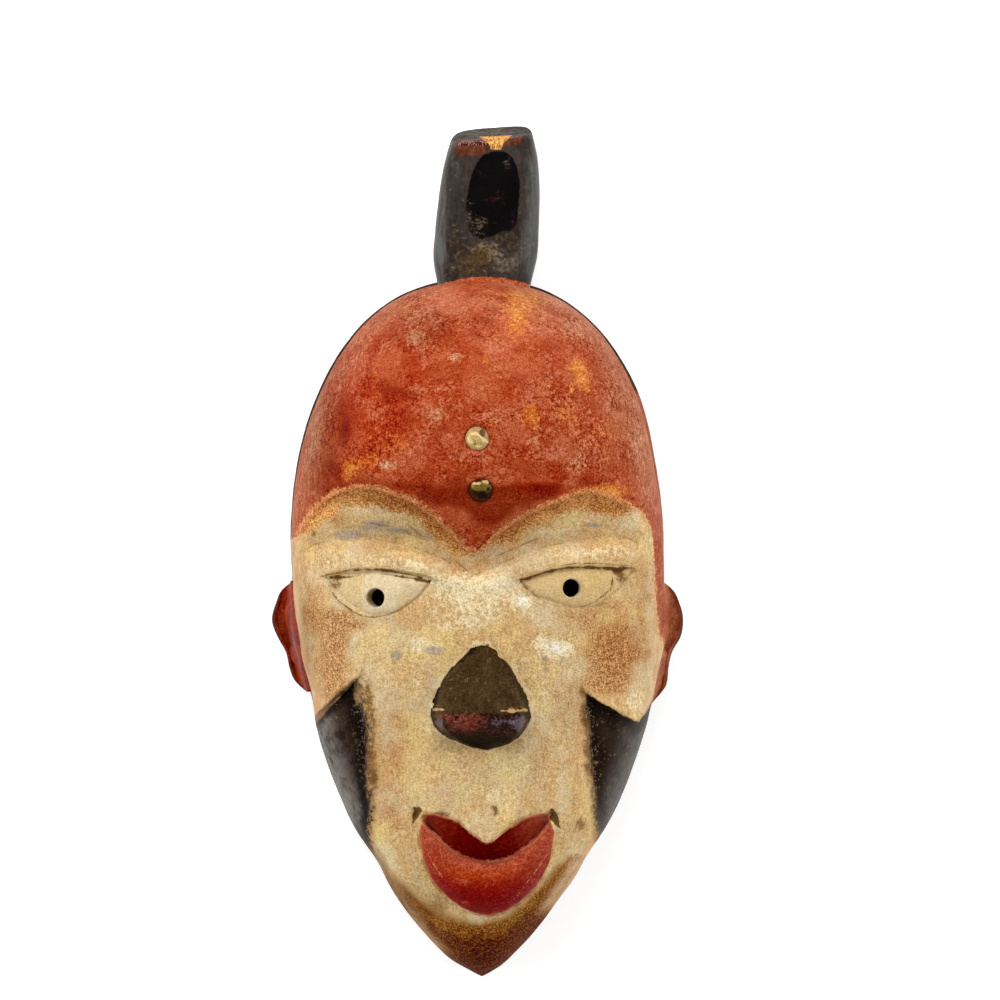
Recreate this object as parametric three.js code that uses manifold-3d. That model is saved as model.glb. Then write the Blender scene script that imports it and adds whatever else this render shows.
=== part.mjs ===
// A carved and painted wooden face mask, lying on its back rim with the face up.
// X runs across the face, Y up the face towards the crest, Z out through the face.
// Millimetres. The origin is the middle of the footprint, on the surface the rim lies on.
//
// The mask is one block of wood: a domed forehead, a sunk face under two brow arches,
// a wedge nose, a pursed mouth, undercut cheeks, two ears, a post-like crest, and a
// hollow for the wearer's face. Two brass tacks are driven into the forehead.

import * as THREE from "three";
import { mergeVertices } from "three/addons/utils/BufferGeometryUtils.js";
import Module from "manifold-3d";

const wasm = await Module();
wasm.setup();

// ------------------------------------------------------------------ driving dimensions
// Plan outline, measured from the widest line of the head (v = 0).
const HALF_WIDTH = 77.35; // head, side to centre line
const DOME_RISE = 111.6; // widest line up to the top of the dome
const CHIN_DROP = 178.5; // widest line down to the chin tip
const CHIN_BLUNT = 1.3; // worn off the tip
const DOME_POWER = 2.3; // fullness of the dome outline
const CHIN_POWER = 2.22; // how late the jaw starts to close
const CHIN_TAPER = 0.82; // how straight the jaw runs to the tip
const JAW_DRIFT = 1.45; // the lower face leans this far to one side

// Heights above the surface the rim lies on.
const SIDE_HEIGHT = 38; // where the side walls turn into the front
const CHIN_HEIGHT = 33; // the same at the chin tip
const FOREHEAD_TOP = 110.5; // fullest point of the forehead
const FOREHEAD_AT = 42; // its place above the widest line
const FOREHEAD_FALL = 12.5; // how much it has fallen back at the widest line
const FACE_TOP = 92.5; // face plane below the brows
const FACE_LOW = 89.5; // face plane at the mouth
const CHIN_TURN = -112; // where the muzzle starts to turn under

// Back band, rim and hollow.
const BAND_HEIGHT = 22.5;
const BAND_PROUD = 1.0; // how far the band stands out past the dome
const BAND_GROOVE = 0.9;
const RIM_TUCK = 4.0; // the wall draws in towards the rim
const HOLLOW_HALF_WIDTH = 65.5;
const HOLLOW_RISE = 98;
const HOLLOW_DROP = 152;
const HOLLOW_DEPTH_BROW = 93; // under the forehead
const HOLLOW_DEPTH_FACE = 73;

// Brow edge, from one temple to the other, and where it falls away past each temple: [u, v]
const BROW = [
  [-84, -9], [-77.5, -4.5], [-75.2, 0.2], [-74.6, 4.8], [-73, 9.4], [-70.1, 14.8], [-66.2, 19.2], [-60.2, 23.4], [-50.9, 25.6],
  [-39.3, 24.9], [-30.6, 22.2], [-21.8, 17.2], [-10.2, 7.6], [-0.8, -0.4], [8.7, 7.4], [20.3, 14.8], [34.3, 21],
  [46, 23.6], [55.2, 22.2], [62.8, 18.4], [69.6, 13.2], [72.4, 6.4], [73.2, -3.1], [73.9, -14],
];
const BROW_FALL_LEFT = [[-95, -9]];
const BROW_FALL_RIGHT = [[74.4, -22], [76.4, -36], [80, -46], [95, -52]];
const BROW_NOTCH_U = -0.8;
const BROW_BAND = 8.0; // width of the cut slope under each arch
const CREASE_LEFT = { u: -50.0, top: 3.2, temple: 5.0, reach: 24 };
const CREASE_RIGHT = { u: 53.0, top: 3.9, temple: 4.6, reach: 21 };
const CREASE_NOTCH = { u: 0.4, v: -11.6 };
const CREASE_DEPTH = 2.4;

// Eyes: centre, half length, tilt, heights of the upper and lower lid curves.
const EYE_LEFT = { u: -40.2, v: -12.4, half: 21.8, tilt: -0.019, up: 3.4, down: 15.4 };
const EYE_RIGHT = { u: 41.2, v: -11.0, half: 23.2, tilt: 0.1, up: 2.7, down: 13.6 };
const PUPIL_LEFT = { u: -42.3, v: -20.7 };
const PUPIL_RIGHT = { u: 39.4, v: -16.6 };
const PUPIL_RADIUS = 3.55;
const PUPIL_LEAN = 15; // degrees, the holes close in towards the middle
const LID_STEP = 1.7;
const EYE_BULGE = 2.4;

// Nose: a wedge with a level ridge across it. Its half width and its middle go by stations up the face.
const NOSE = { top: -40.6, ridge: -68, base: -83.7, rise: 20 };
const NOSE_HALF = [
  [-83.7, 0], [-83.2, 3.4], [-81.6, 8.8], [-78.4, 14.8], [-74.8, 18.6], [-70.4, 20.3], [-66.7, 20.3], [-60.5, 18.6],
  [-54.1, 15.5], [-48.9, 12], [-46.7, 10], [-45.2, 7.9], [-42.5, 5], [-41.4, 3], [-40.6, 0],
];
const NOSE_MID = [[-83.7, 3.6], [-78.4, 2.4], [-74.8, 1.7], [-60.5, 1.6], [-54, 1.2], [-46.7, 2], [-40.6, 1.6]];

// Mouth.
const MOUTH_U = 4.0;
const LIP_TOP = -109.8; // upper edge at the corners
const LIP_NOTCH = 12.4; // how far its middle dips
const LIP_NOTCH_HALF = 11.5;
const LOWER_LIP_EDGE = -129.3; // upper edge of the lower lip, in the middle
const LOWER_LIP_SAG = 0.0232;
const LIP_BASE = { v: -118, drop: 33.7, half: 28, power: 1.85 };
const LIP_BULGE = 6.8;
const MOUTH_DEPTH = 6.0;

// Cut-back sides of the jaw, below the cheeks.
const PANEL_DEPTH = 7.2;
const PANEL_LEFT = { corner: [-50.8, -54.2], slope: 0.81, edge: [49.4, 45.7, 44.5, 44.3] };
const PANEL_RIGHT = { corner: [44.1, -59.4], slope: 0.56, edge: [45.4, 46.3, 49.1, 50.4] };
const PANEL_END = -123.5;

// Ears: reach from the centre line at stations down the ear.
const EAR_LEFT_REACH = [[-13.5, 76.3], [-17, 80.6], [-23, 83.4], [-29.5, 85.0], [-36.5, 82.8], [-43, 79.5], [-50, 77.6], [-56, 74.5], [-59.5, 70.6]];
const EAR_RIGHT_REACH = [[-13.5, 76.5], [-17, 80.8], [-23, 84.0], [-29.5, 85.4], [-36.5, 84.4], [-43, 80.9], [-50, 79.3], [-57, 78.2], [-65, 72.0]];
const EAR_FRONT = 46; // height of the front root above the rim plane
const EAR_BACK = 13;
const EAR_EDGE = 23; // height of the outer edge
const EAR_RIM = 3.4;

// Crest: a stout post rising from the back of the dome.
const CREST_ROOT = 101.5;
const CREST_TOP = 174.5;
const CREST_HALF = [[101, 18.2], [106, 18.7], [112, 19.7], [120, 21.2], [132, 21.6], [145, 21.2], [155, 20.3], [163, 19.2], [169, 17.8], [174, 16.3]];
const CREST_LEAN = [2.6, 6.3]; // centre at the root and at the top
const CREST_LOW = 5.5; // underside
const CREST_HIGH = 38.5; // front
const CREST_SLANT = 0.22; // the top is cut down towards the front
const CREST_TILT = 0.075; // and down to one side
const CREST_SCOOP = { u: 6.9, v: 147, ru: 11.5, rv: 18.5, depth: 0.5 };

// Tacks.
const TACK_RADIUS = 4.7;
const TACK_RISE = 2.3;
const TACK_SHANK = 1.0;
const TACK_LENGTH = 9;
const TACK_UPPER = { u: 0.0, v: 45.4 };
const TACK_LOWER = { u: 1.6, v: 24.0 };
const FIT_GAP = 0.3;

// The carving draws in evenly towards the front, about this point of the face.
const DRAW_IN = 1 / 1553;
const DRAW_FROM = { u: 9.5, v: 19.9, z: 30 };

// Mesh.
const AROUND = 300;
const FRONT_RINGS = 150;
const HOLLOW_RINGS = 26;
const MASK_TRIANGLES = 8450;

// ------------------------------------------------------------------ small helpers
const clamp = (x, a, b) => Math.min(b, Math.max(a, x));
const smooth = (a, b, x) => {
  const t = clamp((x - a) / (b - a), 0, 1);
  return t * t * (3 - 2 * t);
};
const bell = (x, c, r) => Math.exp(-(((x - c) / r) ** 2));
const softMin = (a, b, k) => {
  const h = clamp(0.5 + (0.5 * (b - a)) / k, 0, 1);
  return b + (a - b) * h - k * h * (1 - h);
};
function station(list, x) {
  // smooth curve through [x, y] stations, listed in order of rising or falling x
  const s = list[0][0] < list[list.length - 1][0] ? list : [...list].reverse();
  if (x <= s[0][0]) return s[0][1];
  if (x >= s[s.length - 1][0]) return s[s.length - 1][1];
  let i = 0;
  while (x > s[i + 1][0]) i++;
  const slope = (j) => {
    const a = s[Math.max(0, j - 1)],
      b = s[Math.min(s.length - 1, j + 1)];
    return (b[1] - a[1]) / (b[0] - a[0]);
  };
  const h = s[i + 1][0] - s[i][0],
    t = (x - s[i][0]) / h,
    t2 = t * t,
    t3 = t2 * t;
  return (2 * t3 - 3 * t2 + 1) * s[i][1] + (t3 - 2 * t2 + t) * h * slope(i) + (-2 * t3 + 3 * t2) * s[i + 1][1] + (t3 - t2) * h * slope(i + 1);
}

const between = (run, x) => {
  // straight from point to point
  if (x <= run[0][0]) return run[0][1];
  for (let i = 1; i < run.length; i++)
    if (x <= run[i][0]) return run[i - 1][1] + ((x - run[i - 1][0]) / (run[i][0] - run[i - 1][0])) * (run[i][1] - run[i - 1][1]);
  return run[run.length - 1][1];
};
function smoothRun(points, per) {
  // a smooth run of points through the ones given
  const t = [0];
  for (let i = 1; i < points.length; i++) t.push(t[i - 1] + Math.hypot(points[i][0] - points[i - 1][0], points[i][1] - points[i - 1][1]));
  const slope = (i, c) => {
    if (i === 0 || i === points.length - 1) {
      const k = i === 0 ? 1 : i;
      return (points[k][c] - points[k - 1][c]) / (t[k] - t[k - 1]);
    }
    const a = t[i] - t[i - 1],
      b = t[i + 1] - t[i];
    return (a * a * points[i + 1][c] + (b * b - a * a) * points[i][c] - b * b * points[i - 1][c]) / (a * b * (a + b));
  };
  const out = [];
  for (let i = 0; i + 1 < points.length; i++) {
    const h = t[i + 1] - t[i];
    for (let k = 0; k < per; k++) {
      const s = k / per,
        s2 = s * s,
        s3 = s2 * s;
      out.push([0, 1].map((c) => (2 * s3 - 3 * s2 + 1) * points[i][c] + (s3 - 2 * s2 + s) * h * slope(i, c) + (-2 * s3 + 3 * s2) * points[i + 1][c] + (s3 - s2) * h * slope(i + 1, c)));
    }
  }
  out.push(points[points.length - 1]);
  return out;
}
function away(run, u, v) {
  // distance to a run of short straight pieces
  let best = 1e9;
  for (let i = 1; i < run.length; i++) {
    const x0 = run[i - 1][0],
      y0 = run[i - 1][1],
      dx = run[i][0] - x0,
      dy = run[i][1] - y0;
    const t = clamp(((u - x0) * dx + (v - y0) * dy) / (dx * dx + dy * dy + 1e-12), 0, 1);
    best = Math.min(best, (u - x0 - t * dx) ** 2 + (v - y0 - t * dy) ** 2);
  }
  return Math.sqrt(best);
}

// ------------------------------------------------------------------ plan outline
function halfWidth(v, W = HALF_WIDTH, up = DOME_RISE, down = CHIN_DROP) {
  if (v >= 0) return W * Math.pow(Math.max(0, 1 - Math.pow(Math.min(1, v / up), DOME_POWER)), 1 / DOME_POWER);
  return W * Math.pow(Math.max(0, 1 - Math.pow(Math.min(1, -v / down), CHIN_POWER)), CHIN_TAPER);
}
// How far the middle of the head is to one side at a level.
const drift = (v) => JAW_DRIFT * smooth(-30, -65, v) - 0.8 * smooth(-103, -138, v) + 1.4 * smooth(-167, -177, v);

// Evenly spaced points round a plan outline, from the top of the dome.
function outline(W, up, down, count) {
  const fine = [];
  const n = 700;
  for (let i = 0; i <= n; i++) {
    const v = up * Math.cos(((i / n) * Math.PI) / 2);
    fine.push([halfWidth(v, W, up, down), v]);
  }
  for (let i = 1; i <= n; i++) {
    const v = -down * Math.sin(((i / n) * Math.PI) / 2);
    fine.push([halfWidth(v, W, up, down), v]);
  }
  const all = [...fine, ...fine.slice(1, -1).reverse().map(([u, v]) => [-u, v])];
  all.push(all[0]);
  const at = [0];
  for (let i = 1; i < all.length; i++) at.push(at[i - 1] + Math.hypot(all[i][0] - all[i - 1][0], all[i][1] - all[i - 1][1]));
  const out = [];
  let k = 0;
  for (let j = 0; j < count; j++) {
    const s = (at[at.length - 1] * j) / count;
    while (at[k + 1] < s) k++;
    const t = (s - at[k]) / (at[k + 1] - at[k]);
    out.push([all[k][0] + t * (all[k + 1][0] - all[k][0]), all[k][1] + t * (all[k + 1][1] - all[k][1])]);
  }
  return out;
}

// ------------------------------------------------------------------ the front of the face
function arches(u, left, right, notch) {
  // two arches that meet in a notch
  const half = (a, inner) => {
    const d = u - a.u;
    const toward = (inner > 0 ? d : -d) > 0;
    if (toward) return a.top - (a.top - notch.v) * Math.pow(Math.abs(d / (notch.u - a.u)), 2);
    return a.top - a.temple * Math.pow(Math.abs(d) / a.reach, 2);
  };
  const l = u < notch.u ? half(left, 1) : -1e3;
  const r = u >= notch.u ? half(right, -1) : -1e3;
  return Math.max(l, r);
}
const BROW_RUN = smoothRun(BROW, 6);
const BROW_ALL = [...BROW_FALL_LEFT, ...BROW_RUN, ...BROW_FALL_RIGHT];
// Millimetres inside the face from the brow edge; negative on the forehead.
const browDistance = (u, v) => away(BROW_ALL, u, v) * (v < between(BROW_ALL, u) ? 1 : -1);
const creaseLine = (u) => arches(u, CREASE_LEFT, CREASE_RIGHT, CREASE_NOTCH);

const sideHeight = (v) => SIDE_HEIGHT + (CHIN_HEIGHT - SIDE_HEIGHT) * smooth(-60, -177, v);

function arch(u, v, top, power) {
  // a cross-section from side to side: full height in the middle, upright at the edge
  const s = sideHeight(v),
    w = Math.max(1e-6, halfWidth(v));
  const q = Math.min(1, Math.abs(u - drift(v)) / w);
  return s + (top - s) * Math.pow(Math.max(0, 1 - Math.pow(q, power)), 1 / power);
}
function forehead(u, v) {
  let top;
  if (v >= FOREHEAD_AT) {
    const t = Math.min(1, (v - FOREHEAD_AT) / (DOME_RISE - FOREHEAD_AT));
    top = SIDE_HEIGHT + (FOREHEAD_TOP - SIDE_HEIGHT) * Math.pow(Math.max(0, 1 - Math.pow(t, 2.2)), 1 / 2.2);
  } else top = FOREHEAD_TOP - FOREHEAD_FALL * ((FOREHEAD_AT - v) / FOREHEAD_AT) ** 2;
  return arch(u, v, top, 2.2);
}
function facePlane(u, v) {
  let top = FACE_TOP + (FACE_LOW - FACE_TOP) * smooth(0, -110, v);
  if (v < CHIN_TURN) {
    const t = Math.min(1, (CHIN_TURN - v) / (CHIN_DROP + CHIN_TURN));
    const s = sideHeight(v);
    top = s + (top - s) * Math.pow(Math.max(0, 1 - Math.pow(t, 2.5)), 1 / 2.5);
  }
  const power = 2.6 + 0.7 * smooth(-30, -100, v) - 0.9 * smooth(-120, -177, v);
  return arch(u, v, top, power);
}

function eyeRelief(u, v, e) {
  const c = Math.cos(e.tilt),
    s = Math.sin(e.tilt);
  const p = ((u - e.u) * c + (v - e.v) * s) / e.half;
  const q = -(u - e.u) * s + (v - e.v) * c;
  if (Math.abs(p) > 1.35) return 0;
  const a = Math.min(1, Math.abs(p));
  const upper = e.up * (1 - a * a),
    lower = -e.down * (1 - Math.pow(a, 2.1));
  const along = 1 - smooth(0.9, 1.25, Math.abs(p));
  let h = 0;
  if (q > upper) h += 1.1 * along * Math.exp(-(q - upper) / 4.5);
  else {
    h -= LID_STEP * along * smooth(0, -0.9, q - upper) * Math.exp(-Math.max(0, upper - q) / 5.5);
    const mid = (upper + lower) / 2,
      reach = Math.max(0.6, (upper - lower) / 2);
    h += EYE_BULGE * Math.max(0, 1 - p * p) * Math.max(0, 1 - ((q - mid) / (reach * 1.15)) ** 2);
  }
  if (Math.abs(p) < 1.02) h -= 0.8 * Math.exp(-(((q - lower) / 0.8) ** 2)) * (q < upper + 0.5 ? 1 : 0);
  return h;
}

function noseRelief(u, v) {
  const n = NOSE;
  if (v >= n.top || v <= n.base) return 0;
  const inside = station(NOSE_HALF, v) - Math.abs(u - station(NOSE_MID, v));
  if (inside <= 0) return 0;
  const upper = ((n.top + 1.5 - v) / (n.top - n.ridge)) * n.rise;
  const t = clamp((n.ridge - v) / (n.ridge - n.base), 0, 1.2);
  const lower = n.rise * (1.05 - Math.pow(t, 1.7));
  return Math.max(0, softMin(softMin(upper, lower, 1.2), 5 * inside, 2.4));
}

const lipTop = (d) => LIP_TOP - LIP_NOTCH * Math.exp(-Math.pow(Math.abs(d) / LIP_NOTCH_HALF, 1.8));
const lipEdge = (d) => LOWER_LIP_EDGE + LOWER_LIP_SAG * d * d;
const lipBase = (d) => LIP_BASE.v - LIP_BASE.drop * Math.pow(Math.max(0, 1 - Math.pow(Math.min(1, Math.abs(d) / LIP_BASE.half), LIP_BASE.power)), 1 / LIP_BASE.power);
function mouthRelief(u, v) {
  const d = u - MOUTH_U;
  if (Math.abs(d) > 31 || v > LIP_TOP + 12 || v < -160) return 0;
  const top = lipTop(d),
    edge = lipEdge(d),
    base = lipBase(d);
  const across = Math.abs(d) / LIP_BASE.half;
  // the skin above the mouth swells down to a crisp edge
  if (v > top) return 1.6 * smooth(LIP_TOP + 12, top, v) * bell(d, 0, 22);
  // from there a slope runs in to the foot of the lower lip
  const inside = 1 - smooth(0.86, 0.99, across);
  const t = clamp((top - v) / Math.max(0.5, top - edge), 0, 1);
  const slope = 1.6 * bell(d, 0, 22) * (1 - t) - (0.8 + (MOUTH_DEPTH - 0.8) * Math.pow(t, 0.85)) * smooth(0, 1.2, top - v) * inside;
  if (v > edge) return slope;
  if (v < base || across >= 1) return 0;
  const s = clamp((edge - v) / Math.max(0.5, edge - base), 0, 1);
  const swell = Math.pow(Math.max(0, 1 - Math.pow(across, 4)), 0.5);
  const lip = LIP_BULGE * swell * (0.66 + 0.34 * smooth(0, 0.35, s)) * Math.pow(Math.max(0, 1 - Math.pow(s, 2.6)), 0.5);
  return slope + (lip - slope) * smooth(0, 1.3, edge - v);
}

function panelRelief(u, v, side, p) {
  // the jaw side is cut back from the muzzle edge, under an overhanging cheek
  const x = side * u;
  const t = clamp((p.corner[1] - v) / (p.corner[1] - PANEL_END), 0, 1);
  const edge = between([[0, p.edge[0]], [0.3, p.edge[1]], [0.7, p.edge[2]], [1, p.edge[3]]], t);
  let ledge = p.corner[1] - p.slope * (x - Math.abs(p.corner[0]));
  if (side > 0) ledge = Math.max(ledge, -71.6) + 1.7 * Math.max(0, x - 67.5);
  const below = (ledge - v) / Math.hypot(1, p.slope);
  const inPanel = smooth(-0.3, 1.3, x - edge) * smooth(-0.3, 1.5, below);
  const w = halfWidth(v);
  const out = clamp((x - edge) / Math.max(2, w - edge), 0, 1);
  const depth = PANEL_DEPTH * (1 - 0.85 * Math.pow(out, 1.5)) * (1 - smooth(0.45, 1, t));
  let h = -depth * inPanel;
  // the cheek flares a little at its lower edge
  if (below < 0.4 && x > edge - 4) h += 1.5 * Math.exp(Math.min(0, below) / 4) * smooth(edge - 4, edge + 3, x) * (1 - smooth(w - 9, w, x));
  return h;
}

function front(u, v) {
  const brow = browDistance(u, v),
    crease = creaseLine(u);
  const F = forehead(u, v);
  let G = facePlane(u, v);
  const edgeFade = 1 - smooth(0.86, 1.0, Math.abs(u - drift(v)) / Math.max(1, halfWidth(v)));
  const band = BROW_BAND * (0.55 + 0.45 * smooth(2, 30, Math.abs(u - BROW_NOTCH_U)));
  // from the foot of the brow slope down into the crease, then up over the lid
  const a = v - crease;
  const foot = Math.max(2, between(BROW_RUN, u) - band - crease);
  let D;
  if (a > 0) D = -CREASE_DEPTH + (CREASE_DEPTH + 1.2) * Math.min(1, a / foot);
  else D = -CREASE_DEPTH * Math.exp(a / 2.6) + 1.2 * bell(-a, 6, 4.5);
  G += D * edgeFade * (v > crease - 30 ? 1 : 0);
  if (v < 8 && v > -45) G += (eyeRelief(u, v, EYE_LEFT) + eyeRelief(u, v, EYE_RIGHT)) * edgeFade;
  G += noseRelief(u, v) + mouthRelief(u, v);
  G += panelRelief(u, v, -1, PANEL_LEFT) + panelRelief(u, v, 1, PANEL_RIGHT);
  // the forehead rolls over a little before it drops to the face
  const roll = brow < 0 ? -1.1 * Math.exp(-((brow / 3) ** 2)) * smooth(-24, 2, v) : 0;
  return F + roll * edgeFade + (G - F) * smooth(-0.6, band, brow);
}

// ------------------------------------------------------------------ the hollow behind
function hollow(u, v) {
  const w = Math.max(1e-6, halfWidth(v, HOLLOW_HALF_WIDTH, HOLLOW_RISE, HOLLOW_DROP));
  const q = Math.min(1, Math.abs(u - drift(v)) / w);
  let top = HOLLOW_DEPTH_FACE + (HOLLOW_DEPTH_BROW - HOLLOW_DEPTH_FACE) * smooth(-8, 34, v);
  const t = v > 20 ? (v - 20) / (HOLLOW_RISE - 20) : v < -90 ? (-90 - v) / (HOLLOW_DROP - 90) : 0;
  top *= Math.pow(Math.max(0, 1 - Math.pow(Math.min(1, t), 2.3)), 1 / 2.3);
  return top * Math.pow(Math.max(0, 1 - Math.pow(q, 2.9)), 1 / 2.9);
}

// ------------------------------------------------------------------ meshes as arrays
function drawIn([u, v, z]) {
  const k = 1 - (z - DRAW_FROM.z) * DRAW_IN;
  return [DRAW_FROM.u + (u - DRAW_FROM.u) * k, DRAW_FROM.v + (v - DRAW_FROM.v) * k, z];
}

// Rings of equal length, closed with a point at each end.
function lathed(first, rings, last) {
  const n = rings[0].length,
    pos = [first],
    tri = [];
  rings.forEach((r) => pos.push(...r));
  pos.push(last);
  const at = (i, j) => 1 + i * n + (j % n);
  for (let j = 0; j < n; j++) tri.push([0, at(0, j), at(0, j + 1)]);
  for (let i = 0; i + 1 < rings.length; i++)
    for (let j = 0; j < n; j++) {
      tri.push([at(i, j), at(i + 1, j), at(i + 1, j + 1)]);
      tri.push([at(i, j), at(i + 1, j + 1), at(i, j + 1)]);
    }
  const end = pos.length - 1;
  for (let j = 0; j < n; j++) tri.push([end, at(rings.length - 1, j + 1), at(rings.length - 1, j)]);
  return { pos, tri };
}

// The outline isn't quite even: how far each side stands off the drawn one, at every height.
function unevenness(u, v) {
  const left = 1.4 * bell(v, -131.5, 6) + 1.5 * bell(v, -125, 7) + bell(v, -139, 9) + 1.1 * bell(v, 78, 30) + 1.3 * bell(v, -61, 10) + 0.6 * bell(v, -10, 8);
  const right = -1.0 * bell(v, 38, 20) - 1.3 * bell(v, -128, 7) - 0.9 * bell(v, -145, 9);
  return (u > 0 ? right : left) * smooth(0, 18, Math.abs(u));
}
// Above the back band the two sides also differ: a fuller right cheek and a flatter left one.
function sideShift(u, v) {
  return (u > 0 ? 2.4 * bell(v, -35, 13) : 1.6 * bell(v, -38, 20)) + unevenness(u, v);
}
const blunted = (v) => v + CHIN_BLUNT * smooth(-170, -CHIN_DROP, v);

function head() {
  const rim = outline(HALF_WIDTH, DOME_RISE, CHIN_DROP, AROUND);
  const inner = outline(HOLLOW_HALF_WIDTH, HOLLOW_RISE, HOLLOW_DROP, AROUND);
  const centre = [0, -20];
  const rings = [];
  const upper = (v) => smooth(-15, 45, v);
  const placed = (o, inset, z, face) => {
    // a point of the outline moved inwards and given its height
    const len = Math.hypot(o[0], o[1]);
    const k = 1 - (inset + (face ? BAND_PROUD * upper(o[1]) : 0)) / len;
    const v = o[1] * k;
    let u = o[0] * k + drift(v);
    u += z > BAND_HEIGHT - 4 ? sideShift(o[0], v) : unevenness(o[0], v);
    return [u, blunted(v), z];
  };
  for (let i = 1; i <= FRONT_RINGS; i++) {
    const r = Math.pow(Math.sin(((i / FRONT_RINGS) * Math.PI) / 2), 0.92);
    rings.push(
      rim.map((o) => {
        const u = centre[0] + r * (o[0] - centre[0]),
          v = centre[1] + r * (o[1] - centre[1]);
        const z = front(u + drift(v), v);
        const len = Math.hypot(o[0], o[1]);
        const k = 1 - (BAND_PROUD * upper(v) * r * r) / len;
        const shift = sideShift(o[0], v) * smooth(0.78, 1, r);
        return [u * k + drift(v) + shift, blunted(v * k), z];
      }),
    );
  }
  const wall = (z, inset, face) =>
    rings.push(
      rim.map((o) => {
        const p = placed(o, inset(o[1]), z, face);
        return p;
      }),
    );
  const groove = (v) => BAND_GROOVE * upper(v);
  wall(31, () => 0.1, true);
  wall(26, () => 0.3, true);
  wall(BAND_HEIGHT + 1.8, (v) => 0.5, true);
  wall(BAND_HEIGHT + 0.7, (v) => 0.5 + groove(v), true);
  wall(BAND_HEIGHT, (v) => 0.6 + groove(v) * 0.6, true);
  wall(BAND_HEIGHT - 0.7, () => 0.3, false);
  wall(BAND_HEIGHT - 2.2, () => 0.1, false);
  wall(13, () => 0.6, false);
  wall(6, () => RIM_TUCK * 0.42, false);
  wall(1.2, () => RIM_TUCK * 0.8, false);
  wall(0, () => RIM_TUCK, false);
  const inset = (o, d) => {
    const k = 1 - d / Math.hypot(o[0], o[1]);
    return [o[0] * k + drift(o[1] * k), o[1] * k];
  };
  rings.push(inner.map((o) => [...inset(o, -1.2), 0]));
  rings.push(inner.map((o) => [...inset(o, -0.2), 1.2]));
  for (let i = HOLLOW_RINGS - 1; i >= 1; i--) {
    const r = Math.pow(Math.sin(((i / HOLLOW_RINGS) * Math.PI) / 2), 0.8);
    rings.push(
      inner.map((o) => {
        const u = r * o[0],
          v = -15 + r * (o[1] + 15);
        return [u + drift(v), v, Math.max(2.4, hollow(u + drift(v), v))];
      }),
    );
  }
  const made = lathed([0, centre[1], front(0, centre[1])], rings, [0, -15, hollow(0, -15)]);
  made.pos = made.pos.map(drawIn);
  made.tri = made.tri.map(([a, b, c]) => [a, c, b]);
  return made;
}

function ear(side, reach) {
  // A fin swept down the side of the head, dished on its front, with a rolled edge.
  const sections = [];
  const count = 26,
    top = reach[0][0],
    low = reach[reach.length - 1][0];
  for (let i = 0; i <= count; i++) {
    const t = i / count;
    const v = top + (low - top) * (0.5 - 0.5 * Math.cos(Math.PI * t));
    const s = (v - top) / (low - top);
    const w = halfWidth(v) + side * drift(v);
    const e = Math.max(0.2, station(reach, v) - w);
    const open = Math.pow(Math.sin(Math.PI * clamp(s, 0.015, 0.985)), 0.62);
    const zf = EAR_EDGE + 2 + (EAR_FRONT - EAR_EDGE - 2) * open * (1 - 0.25 * smooth(0.5, 1, s)),
      zb = EAR_EDGE - 2 - (EAR_EDGE - 2 - EAR_BACK) * open;
    const root = w - 9;
    const dish = 3.2 * open;
    const ring = [
      [root, zf],
      [w - 2.2, zf],
      [w - 0.4, zf - 2.6 * open],
      [w + e * 0.3, zf - (zf - EAR_EDGE) * 0.52 - dish],
      [w + e * 0.62, EAR_EDGE + 1.2 - dish * 0.35],
      [w + e - EAR_RIM * 0.62 * open - 0.2, EAR_EDGE + 0.2],
      [w + e - EAR_RIM * 0.42 * open, EAR_EDGE + 2.2 * open],
      [w + e - 0.4 * open, EAR_EDGE + 1.4 * open],
      [w + e, EAR_EDGE - 0.2],
      [w + e - 0.7 * open, EAR_EDGE - 1.8 * open],
      [w + e * 0.55, zb + (EAR_EDGE - 2 - zb) * 0.42],
      [w - 0.6, zb + 1.0],
      [w - 3, zb],
      [root, zb],
    ];
    sections.push(ring.map(([x, z]) => drawIn([side * x + drift(v) * 0, v, z])));
  }
  const mid = (r) => r[0].map((_, k) => (r[0][k] + r[r.length - 1][k]) / 2);
  const m = lathed(mid(sections[0]), sections, mid(sections[count]));
  if (side < 0) m.tri = m.tri.map(([a, b, c]) => [a, c, b]);
  return m;
}

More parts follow.
